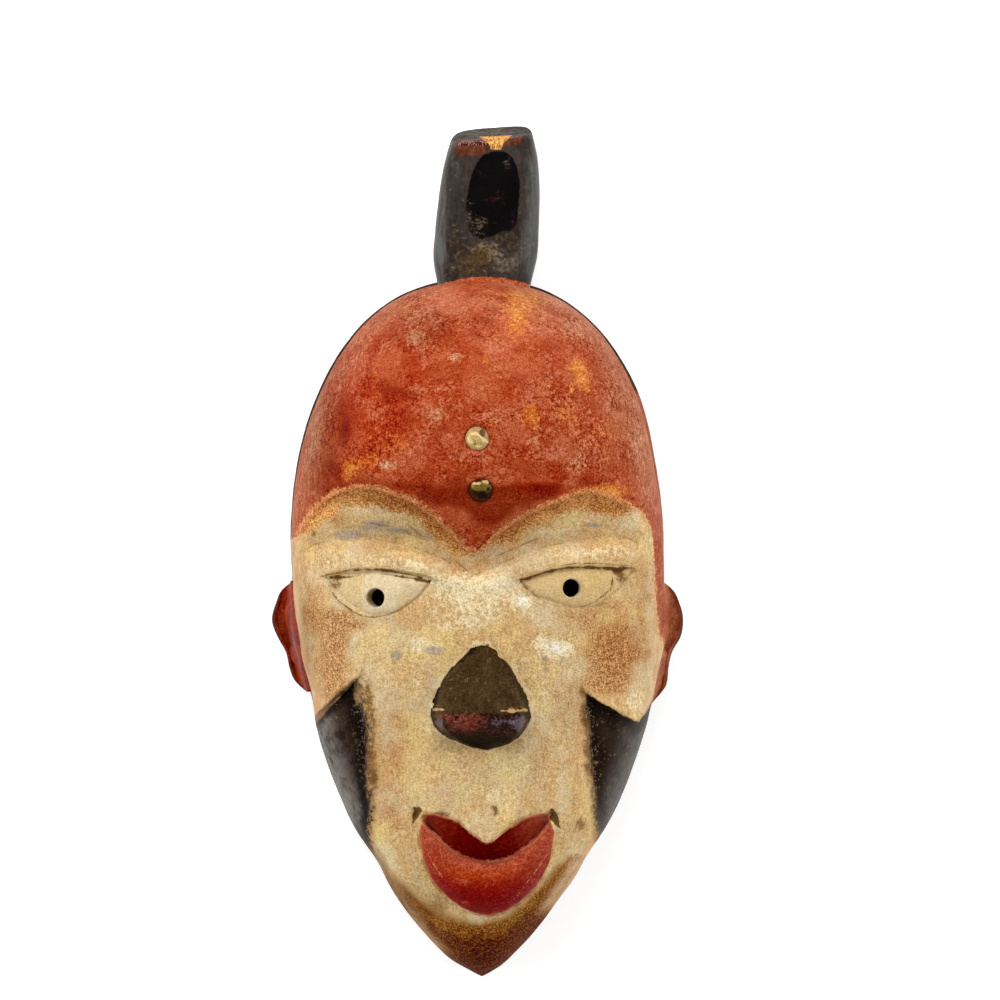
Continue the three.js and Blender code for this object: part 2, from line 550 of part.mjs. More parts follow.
function crest() {
  const around = 40,
    rows = 34,
    rings = [];
  for (let i = 0; i <= rows; i++) {
    const t = i / rows;
    const s = t < 0.9 ? (t / 0.9) * 0.965 : 0.965 + 0.035 * Math.sin((((t - 0.9) / 0.1) * Math.PI) / 2);
    const v0 = CREST_ROOT + s * (CREST_TOP - CREST_ROOT);
    const half = station(CREST_HALF, v0);
    const round = Math.max(0, (s - 0.965) / 0.035);
    const tuck = 1.7 * (1 - Math.sqrt(Math.max(0, 1 - round * round)));
    const lean = CREST_LEAN[0] + (CREST_LEAN[1] - CREST_LEAN[0]) * s;
    const high = CREST_HIGH - 3.0 * s * s,
      low = CREST_LOW + 3.5 * s;
    const ring = [];
    for (let j = 0; j < around; j++) {
      const a = (j / around) * 2 * Math.PI;
      const k = 2 / 3.6;
      const cx = Math.sign(Math.cos(a)) * Math.pow(Math.abs(Math.cos(a)), k),
        cz = Math.sign(Math.sin(a)) * Math.pow(Math.abs(Math.sin(a)), k);
      const u = lean + (half - tuck) * cx;
      let z = (high + low) / 2 + ((high - low) / 2 - tuck) * cz;
      // the top is a slanting cut
      const cut = CREST_TOP + CREST_TILT * (u - lean) - (CREST_SLANT - 0.0016 * (u - lean)) * (z - low);
      const v = CREST_ROOT + s * (cut - CREST_ROOT);
      if (cz > 0.3) {
        const q = ((u - CREST_SCOOP.u) / CREST_SCOOP.ru) ** 2 + ((v - CREST_SCOOP.v) / CREST_SCOOP.rv) ** 2;
        z -= CREST_SCOOP.depth * smooth(1.15, 0.55, q);
      }
      ring.push([u, v, z]);
    }
    rings.push(ring);
  }
  const mid = (r) => [0, 1, 2].map((k) => r.reduce((sum, p) => sum + p[k], 0) / r.length);
  const made = lathed(mid(rings[0]), rings, mid(rings[rows]));
  made.pos = made.pos.map(drawIn);
  return made;
}

// ------------------------------------------------------------------ solids
function manifoldOf({ pos, tri }) {
  const g = new THREE.BufferGeometry();
  g.setAttribute("position", new THREE.BufferAttribute(new Float32Array(pos.flat()), 3));
  g.setIndex(tri.flat());
  return solidOf(g);
}
function solidOf(geometry) {
  const g = geometry.clone();
  g.deleteAttribute("normal");
  g.deleteAttribute("uv");
  const m = mergeVertices(g, 1e-4);
  return new wasm.Manifold(
    new wasm.Mesh({ numProp: 3, vertProperties: new Float32Array(m.getAttribute("position").array), triVerts: new Uint32Array(m.index.array) }),
  );
}
function arraysOf(solid) {
  const m = solid.getMesh(),
    n = m.numProp,
    pos = [],
    tri = [];
  for (let i = 0; i < m.numVert; i++) pos.push([m.vertProperties[i * n], m.vertProperties[i * n + 1], m.vertProperties[i * n + 2]]);
  for (let i = 0; i < m.triVerts.length; i += 3) tri.push([m.triVerts[i], m.triVerts[i + 1], m.triVerts[i + 2]]);
  return { pos, tri };
}
function geometryOf(solid) {
  const { pos, tri } = arraysOf(solid);
  const g = new THREE.BufferGeometry();
  g.setAttribute("position", new THREE.BufferAttribute(new Float32Array(pos.flat()), 3));
  g.setIndex(tri.flat());
  g.computeVertexNormals();
  return g;
}

// Edge collapse by squared distance to the planes of the faces around each corner,
// so that flat runs get few triangles and the carving keeps its edges.
function coarsened({ pos, tri }, target) {
  const P = pos.map((p) => [...p]),
    T = tri.map((t) => [...t]),
    live = T.map(() => true);
  const faces = P.map(() => new Set());
  T.forEach((t, i) => t.forEach((v) => faces[v].add(i)));
  const Q = P.map(() => new Float64Array(10));
  const normal = (a, b, c) => {
    const x1 = b[0] - a[0], y1 = b[1] - a[1], z1 = b[2] - a[2];
    const x2 = c[0] - a[0], y2 = c[1] - a[1], z2 = c[2] - a[2];
    return [y1 * z2 - z1 * y2, z1 * x2 - x1 * z2, x1 * y2 - y1 * x2];
  };
  T.forEach((t) => {
    const n = normal(P[t[0]], P[t[1]], P[t[2]]);
    const len = Math.hypot(...n);
    if (len < 1e-12) return;
    const [a, b, c] = n.map((x) => x / len),
      d = -(a * P[t[0]][0] + b * P[t[0]][1] + c * P[t[0]][2]),
      w = len / 2;
    const q = [a * a, a * b, a * c, a * d, b * b, b * c, b * d, c * c, c * d, d * d];
    t.forEach((v) => q.forEach((x, k) => (Q[v][k] += x * w)));
  });
  const error = (q, [x, y, z]) => q[0] * x * x + 2 * q[1] * x * y + 2 * q[2] * x * z + 2 * q[3] * x + q[4] * y * y + 2 * q[5] * y * z + 2 * q[6] * y + q[7] * z * z + 2 * q[8] * z + q[9];
  const best = (a, b) => {
    const q = Q[a].map((x, k) => x + Q[b][k]);
    const mid = P[a].map((x, k) => (x + P[b][k]) / 2);
    const choices = [P[a], P[b], mid];
    const [A, B, C, D, E, F, G, H, I] = q;
    const det = A * (E * H - F * F) - B * (B * H - F * C) + C * (B * F - E * C);
    const scale = Math.pow((A + E + H) / 3, 3);
    if (Math.abs(det) > 1e-4 * scale) {
      const x = -(D * (E * H - F * F) - B * (G * H - F * I) + C * (G * F - E * I)) / det,
        y = -(A * (G * H - F * I) - D * (B * H - F * C) + C * (B * I - G * C)) / det,
        z = -(A * (E * I - G * F) - B * (B * I - G * C) + D * (B * F - E * C)) / det;
      if (Math.hypot(x - mid[0], y - mid[1], z - mid[2]) < 2 * Math.hypot(...P[a].map((v, k) => v - P[b][k]))) choices.push([x, y, z]);
    }
    let cost = Infinity, at = mid;
    for (const c of choices) {
      const e = error(q, c);
      if (e < cost) (cost = e), (at = c);
    }
    const len = Math.hypot(...P[a].map((v, k) => v - P[b][k]));
    return [Math.max(0, cost) + 1e-5 * len * len, at];
  };
  // a binary heap of candidate edges, with a stamp that tells stale ones
  const heap = [];
  const stamp = P.map(() => 0);
  const push = (a, b) => {
    const [cost, at] = best(a, b);
    const item = { cost, a, b, at, sa: stamp[a], sb: stamp[b] };
    let i = heap.push(item) - 1;
    while (i > 0) {
      const up = (i - 1) >> 1;
      if (heap[up].cost <= heap[i].cost) break;
      [heap[up], heap[i]] = [heap[i], heap[up]];
      i = up;
    }
  };
  const pop = () => {
    const first = heap[0],
      last = heap.pop();
    if (heap.length) {
      heap[0] = last;
      let i = 0;
      for (;;) {
        let k = 2 * i + 1;
        if (k >= heap.length) break;
        if (k + 1 < heap.length && heap[k + 1].cost < heap[k].cost) k++;
        if (heap[i].cost <= heap[k].cost) break;
        [heap[i], heap[k]] = [heap[k], heap[i]];
        i = k;
      }
    }
    return first;
  };
  const around = (v) => {
    const s = new Set();
    for (const f of faces[v]) for (const w of T[f]) if (w !== v) s.add(w);
    return s;
  };
  P.forEach((_, a) => around(a).forEach((b) => a < b && push(a, b)));
  let left = T.length;
  while (left > target && heap.length) {
    const e = pop();
    if (e.sa !== stamp[e.a] || e.sb !== stamp[e.b] || !faces[e.a].size || !faces[e.b].size) continue;
    const na = around(e.a),
      nb = around(e.b);
    let common = 0;
    for (const v of na) if (nb.has(v)) common++;
    if (common !== 2) continue;
    let bad = false;
    for (const [v, other] of [[e.a, e.b], [e.b, e.a]]) {
      for (const f of faces[v]) {
        if (T[f].includes(other)) continue;
        const before = T[f].map((w) => P[w]),
          after = T[f].map((w) => (w === v ? e.at : P[w]));
        const n0 = normal(...before),
          n1 = normal(...after);
        const l0 = Math.hypot(...n0),
          l1 = Math.hypot(...n1);
        const longest = Math.max(...[0, 1, 2].map((k) => Math.hypot(...after[k].map((x, m) => x - after[(k + 1) % 3][m]))));
        if (l1 < 0.06 * longest * longest || (l0 > 1e-9 && n0[0] * n1[0] + n0[1] * n1[1] + n0[2] * n1[2] < 0.55 * l0 * l1)) {
          bad = true;
          break;
        }
      }
      if (bad) break;
    }
    if (bad) continue;
    for (const f of [...faces[e.b]]) {
      if (T[f].includes(e.a)) {
        live[f] = false;
        left--;
        T[f].forEach((v) => faces[v].delete(f));
      } else {
        T[f] = T[f].map((v) => (v === e.b ? e.a : v));
        faces[e.b].delete(f);
        faces[e.a].add(f);
      }
    }
    P[e.a] = [...e.at];
    Q[e.a] = Q[e.a].map((x, k) => x + Q[e.b][k]);
    stamp[e.a]++;
    stamp[e.b]++;
    for (const v of around(e.a)) push(Math.min(e.a, v), Math.max(e.a, v));
  }
  const map = new Map(),
    outP = [],
    outT = [];
  T.forEach((t, i) => {
    if (!live[i]) return;
    outT.push(
      t.map((v) => {
        if (!map.has(v)) map.set(v, outP.push(P[v]) - 1);
        return map.get(v);
      }),
    );
  });
  return { pos: outP, tri: outT };
}

// A turned solid placed along a direction; the profile runs from its far end back.
function turned(profile, sides, at, direction) {
  const g = new THREE.LatheGeometry([...profile].reverse().map(([r, y]) => new THREE.Vector2(r, y)), sides);
  const q = new THREE.Quaternion().setFromUnitVectors(new THREE.Vector3(0, 1, 0), direction);
  return g.applyMatrix4(new THREE.Matrix4().compose(at, q, new THREE.Vector3(1, 1, 1)));
}
const vector = (p) => new THREE.Vector3(...p);
function surfaceAt({ u, v }) {
  // a point on the front and its outward direction, after the carving has drawn in
  const p = vector(drawIn([u, v, front(u, v)])),
    a = vector(drawIn([u + 2, v, front(u + 2, v)])),
    b = vector(drawIn([u, v + 2, front(u, v + 2)]));
  return { at: p, out: a.sub(p).cross(b.sub(p)).normalize() };
}

// ------------------------------------------------------------------ assembly
let body = manifoldOf(head());
for (const m of [ear(-1, EAR_LEFT_REACH), ear(1, EAR_RIGHT_REACH), crest()]) body = body.add(manifoldOf(m));
body = manifoldOf(coarsened(arraysOf(body), MASK_TRIANGLES));

// sight holes through the eyes
for (const [p, side] of [[PUPIL_LEFT, 1], [PUPIL_RIGHT, -1]]) {
  const a = (PUPIL_LEAN * Math.PI) / 180;
  const inward = new THREE.Vector3(side * Math.sin(a), 0, -Math.cos(a));
  const start = vector(drawIn([p.u, p.v, front(p.u, p.v)])).addScaledVector(inward, -8);
  const rod = turned([[0, 44], [PUPIL_RADIUS, 44], [PUPIL_RADIUS, 0], [0, 0]], 18, start, inward);
  body = body.subtract(solidOf(rod));
}

// seats and nail holes of the tacks
const tacks = [];
for (const p of [TACK_UPPER, TACK_LOWER]) {
  const { at, out } = surfaceAt(p);
  const seat = at.clone().addScaledVector(out, -0.55);
  const cut = turned(
    [[0, 6], [TACK_RADIUS + 0.35, 6], [TACK_RADIUS + 0.35, 0], [TACK_SHANK + FIT_GAP, 0], [TACK_SHANK + FIT_GAP, -TACK_LENGTH - 0.6], [0, -TACK_LENGTH - 0.6]],
    18, seat, out,
  );
  body = body.subtract(solidOf(cut));
  const head_ = [];
  for (let i = 0; i <= 4; i++) {
    const a = (i / 4) * (Math.PI / 2);
    head_.push([TACK_RADIUS * Math.sin(a), FIT_GAP + 0.5 + (TACK_RISE - 0.5) * Math.cos(a)]);
  }
  head_[0][0] = 0;
  tacks.push(
    turned([...head_, [TACK_RADIUS, FIT_GAP], [TACK_SHANK, FIT_GAP], [TACK_SHANK, -TACK_LENGTH * 0.7], [0, -TACK_LENGTH]], 18, seat, out),
  );
}

// the rim is sawn flat
const saw = new THREE.BoxGeometry(400, 600, 20).translate(0, 0, -10 + 0.1);
body = body.subtract(solidOf(saw));

const maskGeometry = geometryOf(body);
maskGeometry.computeBoundingBox();
const box = maskGeometry.boundingBox;
const home = new THREE.Vector3(-(box.min.x + box.max.x) / 2, -(box.min.y + box.max.y) / 2, -box.min.z);

const wood = new THREE.MeshStandardMaterial({ color: new THREE.Color(0.62, 0.36, 0.2), roughness: 0.6, metalness: 0 });
const brass = new THREE.MeshStandardMaterial({ color: new THREE.Color(0.72, 0.56, 0.26), roughness: 0.35, metalness: 1 });

const mask = new THREE.Group();
const add = (name, geometry, material) => {
  const m = new THREE.Mesh(geometry, material);
  m.name = name;
  m.position.copy(home);
  mask.add(m);
};
add("mask_body", maskGeometry, wood);
add("upper_tack", tacks[0], brass);
add("lower_tack", tacks[1], brass);

export default mask;
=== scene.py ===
import math

import bpy
import numpy as np
from mathutils import Matrix, Vector


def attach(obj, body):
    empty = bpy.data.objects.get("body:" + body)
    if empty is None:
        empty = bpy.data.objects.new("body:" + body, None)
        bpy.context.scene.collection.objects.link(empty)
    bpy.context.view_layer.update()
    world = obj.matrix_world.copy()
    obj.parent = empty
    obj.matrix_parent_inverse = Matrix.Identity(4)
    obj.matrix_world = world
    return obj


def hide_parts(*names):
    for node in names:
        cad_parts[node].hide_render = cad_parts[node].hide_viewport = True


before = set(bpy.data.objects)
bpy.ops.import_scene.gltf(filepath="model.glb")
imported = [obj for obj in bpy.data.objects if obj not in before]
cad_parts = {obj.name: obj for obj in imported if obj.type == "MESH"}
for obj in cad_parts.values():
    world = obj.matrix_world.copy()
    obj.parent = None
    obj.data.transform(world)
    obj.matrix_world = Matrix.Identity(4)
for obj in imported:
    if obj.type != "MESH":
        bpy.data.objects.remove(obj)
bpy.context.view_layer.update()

# A carved and painted wooden mask lying on its back rim. Lengths in this file are
# millimetres until a mesh is made. u runs across the face and v up it.
HOME = np.array([-0.2285, 1.2265, -0.1])  # from the carving's own centre to the part's origin

# ---------------------------------------------------------------- sizes, as in the solid part
HALF_WIDTH, DOME_RISE, CHIN_DROP, CHIN_BLUNT = 77.35, 111.6, 178.5, 1.3
DOME_POWER, CHIN_POWER, CHIN_TAPER, JAW_DRIFT = 2.3, 2.22, 0.82, 1.45
SIDE_HEIGHT, CHIN_HEIGHT = 38.0, 33.0
FOREHEAD_TOP, FOREHEAD_AT, FOREHEAD_FALL = 110.5, 42.0, 12.5
FACE_TOP, FACE_LOW, CHIN_TURN = 92.5, 89.5, -112.0
BAND_HEIGHT, BAND_PROUD, BAND_GROOVE, RIM_TUCK = 22.5, 1.0, 0.9, 4.0
HOLLOW_HALF_WIDTH, HOLLOW_RISE, HOLLOW_DROP = 65.5, 98.0, 152.0
HOLLOW_DEPTH_BROW, HOLLOW_DEPTH_FACE = 93.0, 73.0
BROW = [(-84.0, -9.0), (-77.5, -4.5), (-75.2, 0.2), (-74.6, 4.8), (-73.0, 9.4), (-70.1, 14.8), (-66.2, 19.2), (-60.2, 23.4), (-50.9, 25.6),
        (-39.3, 24.9), (-30.6, 22.2), (-21.8, 17.2), (-10.2, 7.6), (-0.8, -0.4), (8.7, 7.4), (20.3, 14.8), (34.3, 21.0),
        (46.0, 23.6), (55.2, 22.2), (62.8, 18.4), (69.6, 13.2), (72.4, 6.4), (73.2, -3.1), (73.9, -14)]
BROW_FALL_LEFT, BROW_FALL_RIGHT = [(-95, -9.0)], [(74.4, -22), (76.4, -36), (80, -46), (95, -52)]
BROW_NOTCH_U = -0.8
BROW_BAND = 8.0
CREASE_LEFT = dict(u=-50.0, top=3.2, temple=5.0, reach=24.0)
CREASE_RIGHT = dict(u=53.0, top=3.9, temple=4.6, reach=21.0)
CREASE_NOTCH = (0.4, -11.6)
CREASE_DEPTH = 2.4
EYE_LEFT = dict(u=-40.2, v=-12.4, half=21.8, tilt=-0.019, up=3.4, down=15.4)
EYE_RIGHT = dict(u=41.2, v=-11.0, half=23.2, tilt=0.1, up=2.7, down=13.6)
PUPILS = [(-42.3, -20.7, 1), (39.4, -16.6, -1)]
PUPIL_RADIUS, PUPIL_LEAN = 3.55, math.radians(15)
LID_STEP, EYE_BULGE = 1.7, 2.4
NOSE_TOP, NOSE_RIDGE, NOSE_BASE, NOSE_RISE = -40.6, -68.0, -83.7, 20.0
NOSE_HALF = [(-83.7, 0.0), (-83.2, 3.4), (-81.6, 8.8), (-78.4, 14.8), (-74.8, 18.6), (-70.4, 20.3), (-66.7, 20.3), (-60.5, 18.6),
             (-54.1, 15.5), (-48.9, 12.0), (-46.7, 10.0), (-45.2, 7.9), (-42.5, 5.0), (-41.4, 3.0), (-40.6, 0.0)]
NOSE_MID = [(-83.7, 3.6), (-78.4, 2.4), (-74.8, 1.7), (-60.5, 1.6), (-54.0, 1.2), (-46.7, 2.0), (-40.6, 1.6)]
MOUTH_U = 4.0
LIP_TOP, LIP_NOTCH, LIP_NOTCH_HALF = -109.8, 12.4, 11.5
LOWER_LIP_EDGE, LOWER_LIP_SAG = -129.3, 0.0232
LIP_BASE = dict(v=-118.0, drop=33.7, half=28.0, power=1.85)
LIP_BULGE, MOUTH_DEPTH = 6.8, 6.0
PANEL_DEPTH, PANEL_END = 7.2, -123.5
PANEL_LEFT = dict(corner=(-50.8, -54.2), slope=0.81, edge=(-49.4, -45.7, -44.5, -44.3))
PANEL_RIGHT = dict(corner=(44.1, -59.4), slope=0.56, edge=(45.4, 46.3, 49.1, 50.4))
EAR_LEFT = [(-13.5, 76.3), (-17, 80.6), (-23, 83.4), (-29.5, 85.0), (-36.5, 82.8), (-43, 79.5), (-50, 77.6), (-56, 74.5), (-59.5, 70.6)]
EAR_RIGHT = [(-13.5, 76.5), (-17, 80.8), (-23, 84.0), (-29.5, 85.4), (-36.5, 84.4), (-43, 80.9), (-50, 79.3), (-57, 78.2), (-65.0, 72.0)]
EAR_FRONT, EAR_BACK, EAR_EDGE, EAR_RIM = 46.0, 13.0, 23.0, 3.4
CREST_ROOT, CREST_TOP = 101.5, 174.5
CREST_HALF = [(101, 18.2), (106, 18.7), (112, 19.7), (120, 21.2), (132, 21.6), (145, 21.2), (155, 20.3), (163, 19.2), (169, 17.8), (174, 16.3)]
CREST_LEAN = (2.6, 6.3)
CREST_LOW, CREST_HIGH, CREST_SLANT, CREST_TILT = 5.5, 38.5, 0.22, 0.075
CREST_SCOOP = dict(u=6.9, v=147.0, ru=11.5, rv=18.5, depth=0.5)
TACK_RADIUS, TACK_RISE, TACK_SHANK, TACK_LENGTH, FIT_GAP = 4.7, 2.3, 1.0, 9.0, 0.3
TACK_UPPER, TACK_LOWER = (0.0, 45.4), (1.6, 24.0)
DRAW_IN, DRAW_FROM = 1 / 1553, np.array([9.5, 19.9, 30.0])

AROUND, FRONT_RINGS, HOLLOW_RINGS = 1000, 300, 90
MASK_FACES = 190_000


# ---------------------------------------------------------------- small helpers
def smooth(a, b, x):
    t = np.clip((x - a) / (b - a), 0, 1)
    return t * t * (3 - 2 * t)


def bell(x, c, r):
    return np.exp(-(((x - c) / r) ** 2))


def soft_min(a, b, k):
    h = np.clip(0.5 + 0.5 * (b - a) / k, 0, 1)
    return b + (a - b) * h - k * h * (1 - h)


def spline(points, per=14):
    """A smooth run of points through the ones given."""
    p = np.array(points, float)
    t = np.concatenate([[0], np.cumsum(np.hypot(*np.diff(p, axis=0).T))])
    m = np.gradient(p, t, axis=0)
    out = []
    for i in range(len(p) - 1):
        h = t[i + 1] - t[i]
        s = np.linspace(0, 1, per, endpoint=False)[:, None]
        out.append((2 * s**3 - 3 * s**2 + 1) * p[i] + (s**3 - 2 * s**2 + s) * h * m[i] + (-2 * s**3 + 3 * s**2) * p[i + 1] + (s**3 - s**2) * h * m[i + 1])
    return np.vstack(out + [p[-1:]])


def station(points, x):
    """A smooth curve through (x, y) stations."""
    p = np.array(sorted(points), float)
    m = np.gradient(p[:, 1], p[:, 0])
    x = np.clip(x, p[0, 0], p[-1, 0])
    i = np.clip(np.searchsorted(p[:, 0], x) - 1, 0, len(p) - 2)
    h = p[i + 1, 0] - p[i, 0]
    t = (x - p[i, 0]) / h
    return (2 * t**3 - 3 * t**2 + 1) * p[i, 1] + (t**3 - 2 * t**2 + t) * h * m[i] + (-2 * t**3 + 3 * t**2) * p[i + 1, 1] + (t**3 - t**2) * h * m[i + 1]


def away(line, u, v):
    """Distance from points to a run of short straight pieces."""
    u, v = np.asarray(u, float), np.asarray(v, float)
    best = np.full(u.shape, 1e9)
    for (x0, y0), (x1, y1) in zip(line[:-1], line[1:]):
        dx, dy = x1 - x0, y1 - y0
        t = np.clip(((u - x0) * dx + (v - y0) * dy) / (dx * dx + dy * dy + 1e-12), 0, 1)
        best = np.minimum(best, (u - x0 - t * dx) ** 2 + (v - y0 - t * dy) ** 2)
    return np.sqrt(best)


def lattice(ix, iy, iz, seed):
    h = (ix * 374761393 + iy * 668265263 + iz * 1440662683 + seed * 144665) & 0xFFFFFFFF
    h = ((h ^ (h >> 13)) * 1274126177) & 0xFFFFFFFF
    h = ((h ^ (h >> 15)) * 2246822519) & 0xFFFFFFFF
    return (h ^ (h >> 16)) / 2147483647.5 - 1.0


def noise(p, size, seed=0):
    """Smooth noise from -1 to 1 with lumps of a size in millimetres."""
    q = np.asarray(p, float) / size + 1000.0
    i = np.floor(q).astype(np.int64)
    f = q - i
    f = f * f * f * (f * (f * 6 - 15) + 10)
    out = 0
    for dx in (0, 1):
        for dy in (0, 1):
            for dz in (0, 1):
                w = (f[:, 0] if dx else 1 - f[:, 0]) * (f[:, 1] if dy else 1 - f[:, 1]) * (f[:, 2] if dz else 1 - f[:, 2])
                out = out + w * lattice(i[:, 0] + dx, i[:, 1] + dy, i[:, 2] + dz, seed)
    return out


def rough(p, size, octaves=3, seed=0, gain=0.5):
    out, k, total = 0, 1.0, 0.0
    for o in range(octaves):
        out = out + k * noise(p, size / 2**o, seed + 17 * o)
        total += k
        k *= gain
    return out / total


def flat_points(u, v):
    return np.stack([u, v, np.zeros_like(u)], axis=1)


# ---------------------------------------------------------------- plan outline
def half_width(v, W=HALF_WIDTH, up=DOME_RISE, down=CHIN_DROP):
    v = np.asarray(v, float)
    top = np.clip(1 - np.clip(v / up, 0, 1) ** DOME_POWER, 0, None) ** (1 / DOME_POWER)
    low = np.clip(1 - np.clip(-v / down, 0, 1) ** CHIN_POWER, 0, None) ** CHIN_TAPER
    return W * np.where(v >= 0, top, low)


def drift(v):
    return JAW_DRIFT * smooth(-30, -65, v) - 0.8 * smooth(-103, -138, v) + 1.4 * smooth(-167, -177, v)


def outline(W, up, down, count):
    n = 3000
    a = np.linspace(0, math.pi / 2, n + 1)
    v = np.concatenate([up * np.cos(a), -down * np.sin(a[1:])])
    right = np.stack([half_width(v, W, up, down), v], axis=1)
    left = right[1:-1][::-1] * (-1, 1)
    p = np.vstack([right, left, right[:1]])
    s = np.concatenate([[0], np.cumsum(np.hypot(*np.diff(p, axis=0).T))])
    at = np.arange(count) * s[-1] / count
    return np.stack([np.interp(at, s, p[:, 0]), np.interp(at, s, p[:, 1])], axis=1)


# ---------------------------------------------------------------- the front of the face
BROW_RUN = spline(BROW)


def brow_distance(u, v):
    """Millimetres inside the face from the brow edge; negative on the forehead."""
    run = BROW_RUN
    low = np.vstack([BROW_FALL_LEFT, run, BROW_FALL_RIGHT])
    inside = v < np.interp(u, low[:, 0], low[:, 1])
    d = away(low, u, v)
    return np.where(inside, d, -d)


def crease_line(u):
    def half(a):
        d = u - a["u"]
        inner = np.abs(d / (CREASE_NOTCH[0] - a["u"])) ** 2 * (a["top"] - CREASE_NOTCH[1])
        outer = (np.abs(d) / a["reach"]) ** 2 * a["temple"]
        toward = d > 0 if a["u"] < 0 else d < 0
        return a["top"] - np.where(toward, inner, outer)
    return np.where(u < CREASE_NOTCH[0], half(CREASE_LEFT), half(CREASE_RIGHT))


def side_height(v):
    return SIDE_HEIGHT + (CHIN_HEIGHT - SIDE_HEIGHT) * smooth(-60, -177, v)


def arch(u, v, top, power):
    s = side_height(v)
    q = np.clip(np.abs(u - drift(v)) / np.maximum(1e-6, half_width(v)), 0, 1)
    return s + (top - s) * np.clip(1 - q**power, 0, None) ** (1 / power)


def forehead(u, v):
    t = np.clip((v - FOREHEAD_AT) / (DOME_RISE - FOREHEAD_AT), 0, 1)
    upper = SIDE_HEIGHT + (FOREHEAD_TOP - SIDE_HEIGHT) * np.clip(1 - t**2.2, 0, None) ** (1 / 2.2)
    lower = FOREHEAD_TOP - FOREHEAD_FALL * ((FOREHEAD_AT - v) / FOREHEAD_AT) ** 2
    return arch(u, v, np.where(v >= FOREHEAD_AT, upper, lower), 2.2)


def face_plane(u, v):
    top = FACE_TOP + (FACE_LOW - FACE_TOP) * smooth(0, -110, v)
    t = np.clip((CHIN_TURN - v) / (CHIN_DROP + CHIN_TURN), 0, 1)
    s = side_height(v)
    top = np.where(v < CHIN_TURN, s + (top - s) * np.clip(1 - t**2.5, 0, None) ** (1 / 2.5), top)
    power = 2.6 + 0.7 * smooth(-30, -100, v) - 0.9 * smooth(-120, -177, v)
    return arch(u, v, top, power)


def eye_frame(u, v, e):
    c, s = math.cos(e["tilt"]), math.sin(e["tilt"])
    p = ((u - e["u"]) * c + (v - e["v"]) * s) / e["half"]
    q = -(u - e["u"]) * s + (v - e["v"]) * c
    a = np.clip(np.abs(p), 0, 1)
    return p, q, e["up"] * (1 - a * a), -e["down"] * (1 - a**2.1)


def eye_relief(u, v, e):
    p, q, upper, lower = eye_frame(u, v, e)
    along = 1 - smooth(0.9, 1.25, np.abs(p))
    over = 1.1 * along * np.exp(-np.maximum(0, q - upper) / 4.5)
    under = -LID_STEP * along * smooth(0, -0.9, q - upper) * np.exp(-np.maximum(0, upper - q) / 5.5)
    mid, reach = (upper + lower) / 2, np.maximum(0.6, (upper - lower) / 2)
    under += EYE_BULGE * np.clip(1 - p * p, 0, None) * np.clip(1 - ((q - mid) / (reach * 1.15)) ** 2, 0, None)
    h = np.where(q > upper, over * smooth(0, 0.5, q - upper) + (1 - smooth(0, 0.5, q - upper)) * 0.2 * over, under)
    h -= 0.75 * np.exp(-(((q - lower) / 0.7) ** 2)) * (np.abs(p) < 1.02) * (q < upper + 0.5)
    return np.where(np.abs(p) < 1.35, h, 0)


def nose_inside(u, v):
    """Millimetres inside the nose's outline, across it."""
    half = station(NOSE_HALF, v)
    inside = half - np.abs(u - station(NOSE_MID, v))
    return np.where((v < NOSE_TOP) & (v > NOSE_BASE), inside, -np.hypot(np.maximum(0, np.abs(u - 2) - 3), np.maximum(v - NOSE_TOP, NOSE_BASE - v)))


def nose_relief(u, v):
    upper = (NOSE_TOP + 1.5 - v) / (NOSE_TOP - NOSE_RIDGE) * NOSE_RISE
    t = np.clip((NOSE_RIDGE - v) / (NOSE_RIDGE - NOSE_BASE), 0, 1.2)
    lower = NOSE_RISE * (1.05 - t**1.7)
    side = 5.0 * nose_inside(u, v)
    return np.maximum(0, soft_min(soft_min(upper, lower, 1.2), side, 2.4))


def lip_top(d):
    return LIP_TOP - LIP_NOTCH * np.exp(-(np.abs(d) / LIP_NOTCH_HALF) ** 1.8)


def lip_edge(d):
    return LOWER_LIP_EDGE + LOWER_LIP_SAG * d * d


def lip_base(d):
    return LIP_BASE["v"] - LIP_BASE["drop"] * np.clip(1 - np.clip(np.abs(d) / LIP_BASE["half"], 0, 1) ** LIP_BASE["power"], 0, None) ** (1 / LIP_BASE["power"])


def mouth_relief(u, v):
    d = u - MOUTH_U
    top, edge, base = lip_top(d), lip_edge(d), lip_base(d)
    across = np.abs(d) / LIP_BASE["half"]
    above = 1.6 * smooth(LIP_TOP + 12, top, v) * bell(d, 0, 22)
    inside = 1 - smooth(0.86, 0.99, across)
    t = np.clip((top - v) / np.maximum(0.5, top - edge), 0, 1)
    slope = 1.6 * bell(d, 0, 22) * (1 - t) - (0.8 + (MOUTH_DEPTH - 0.8) * t**0.85) * smooth(0, 1.2, top - v) * inside
    s = np.clip((edge - v) / np.maximum(0.5, edge - base), 0, 1)
    swell = np.clip(1 - across**4, 0, None) ** 0.5
    lip = LIP_BULGE * swell * (0.66 + 0.34 * smooth(0, 0.35, s)) * np.clip(1 - s**2.6, 0, None) ** 0.5
    low = slope + (lip - slope) * smooth(0, 1.3, edge - v)
    h = np.where(v > top, above, np.where(v > edge, slope, np.where((v > base) & (across < 1), low, 0)))
    # a nick of the knife at each corner
    for cu, cv in ((-25.6, -110.2), (31.4, -111.6)):
        h = h - 2.0 * np.exp(-(((u - cu) / 1.3) ** 2) - ((v - cv + 0.5 * (u - cu) * np.sign(cu)) / 2.3) ** 2)
    return np.where((np.abs(d) < 34) & (v < LIP_TOP + 12) & (v > -160), h, 0)


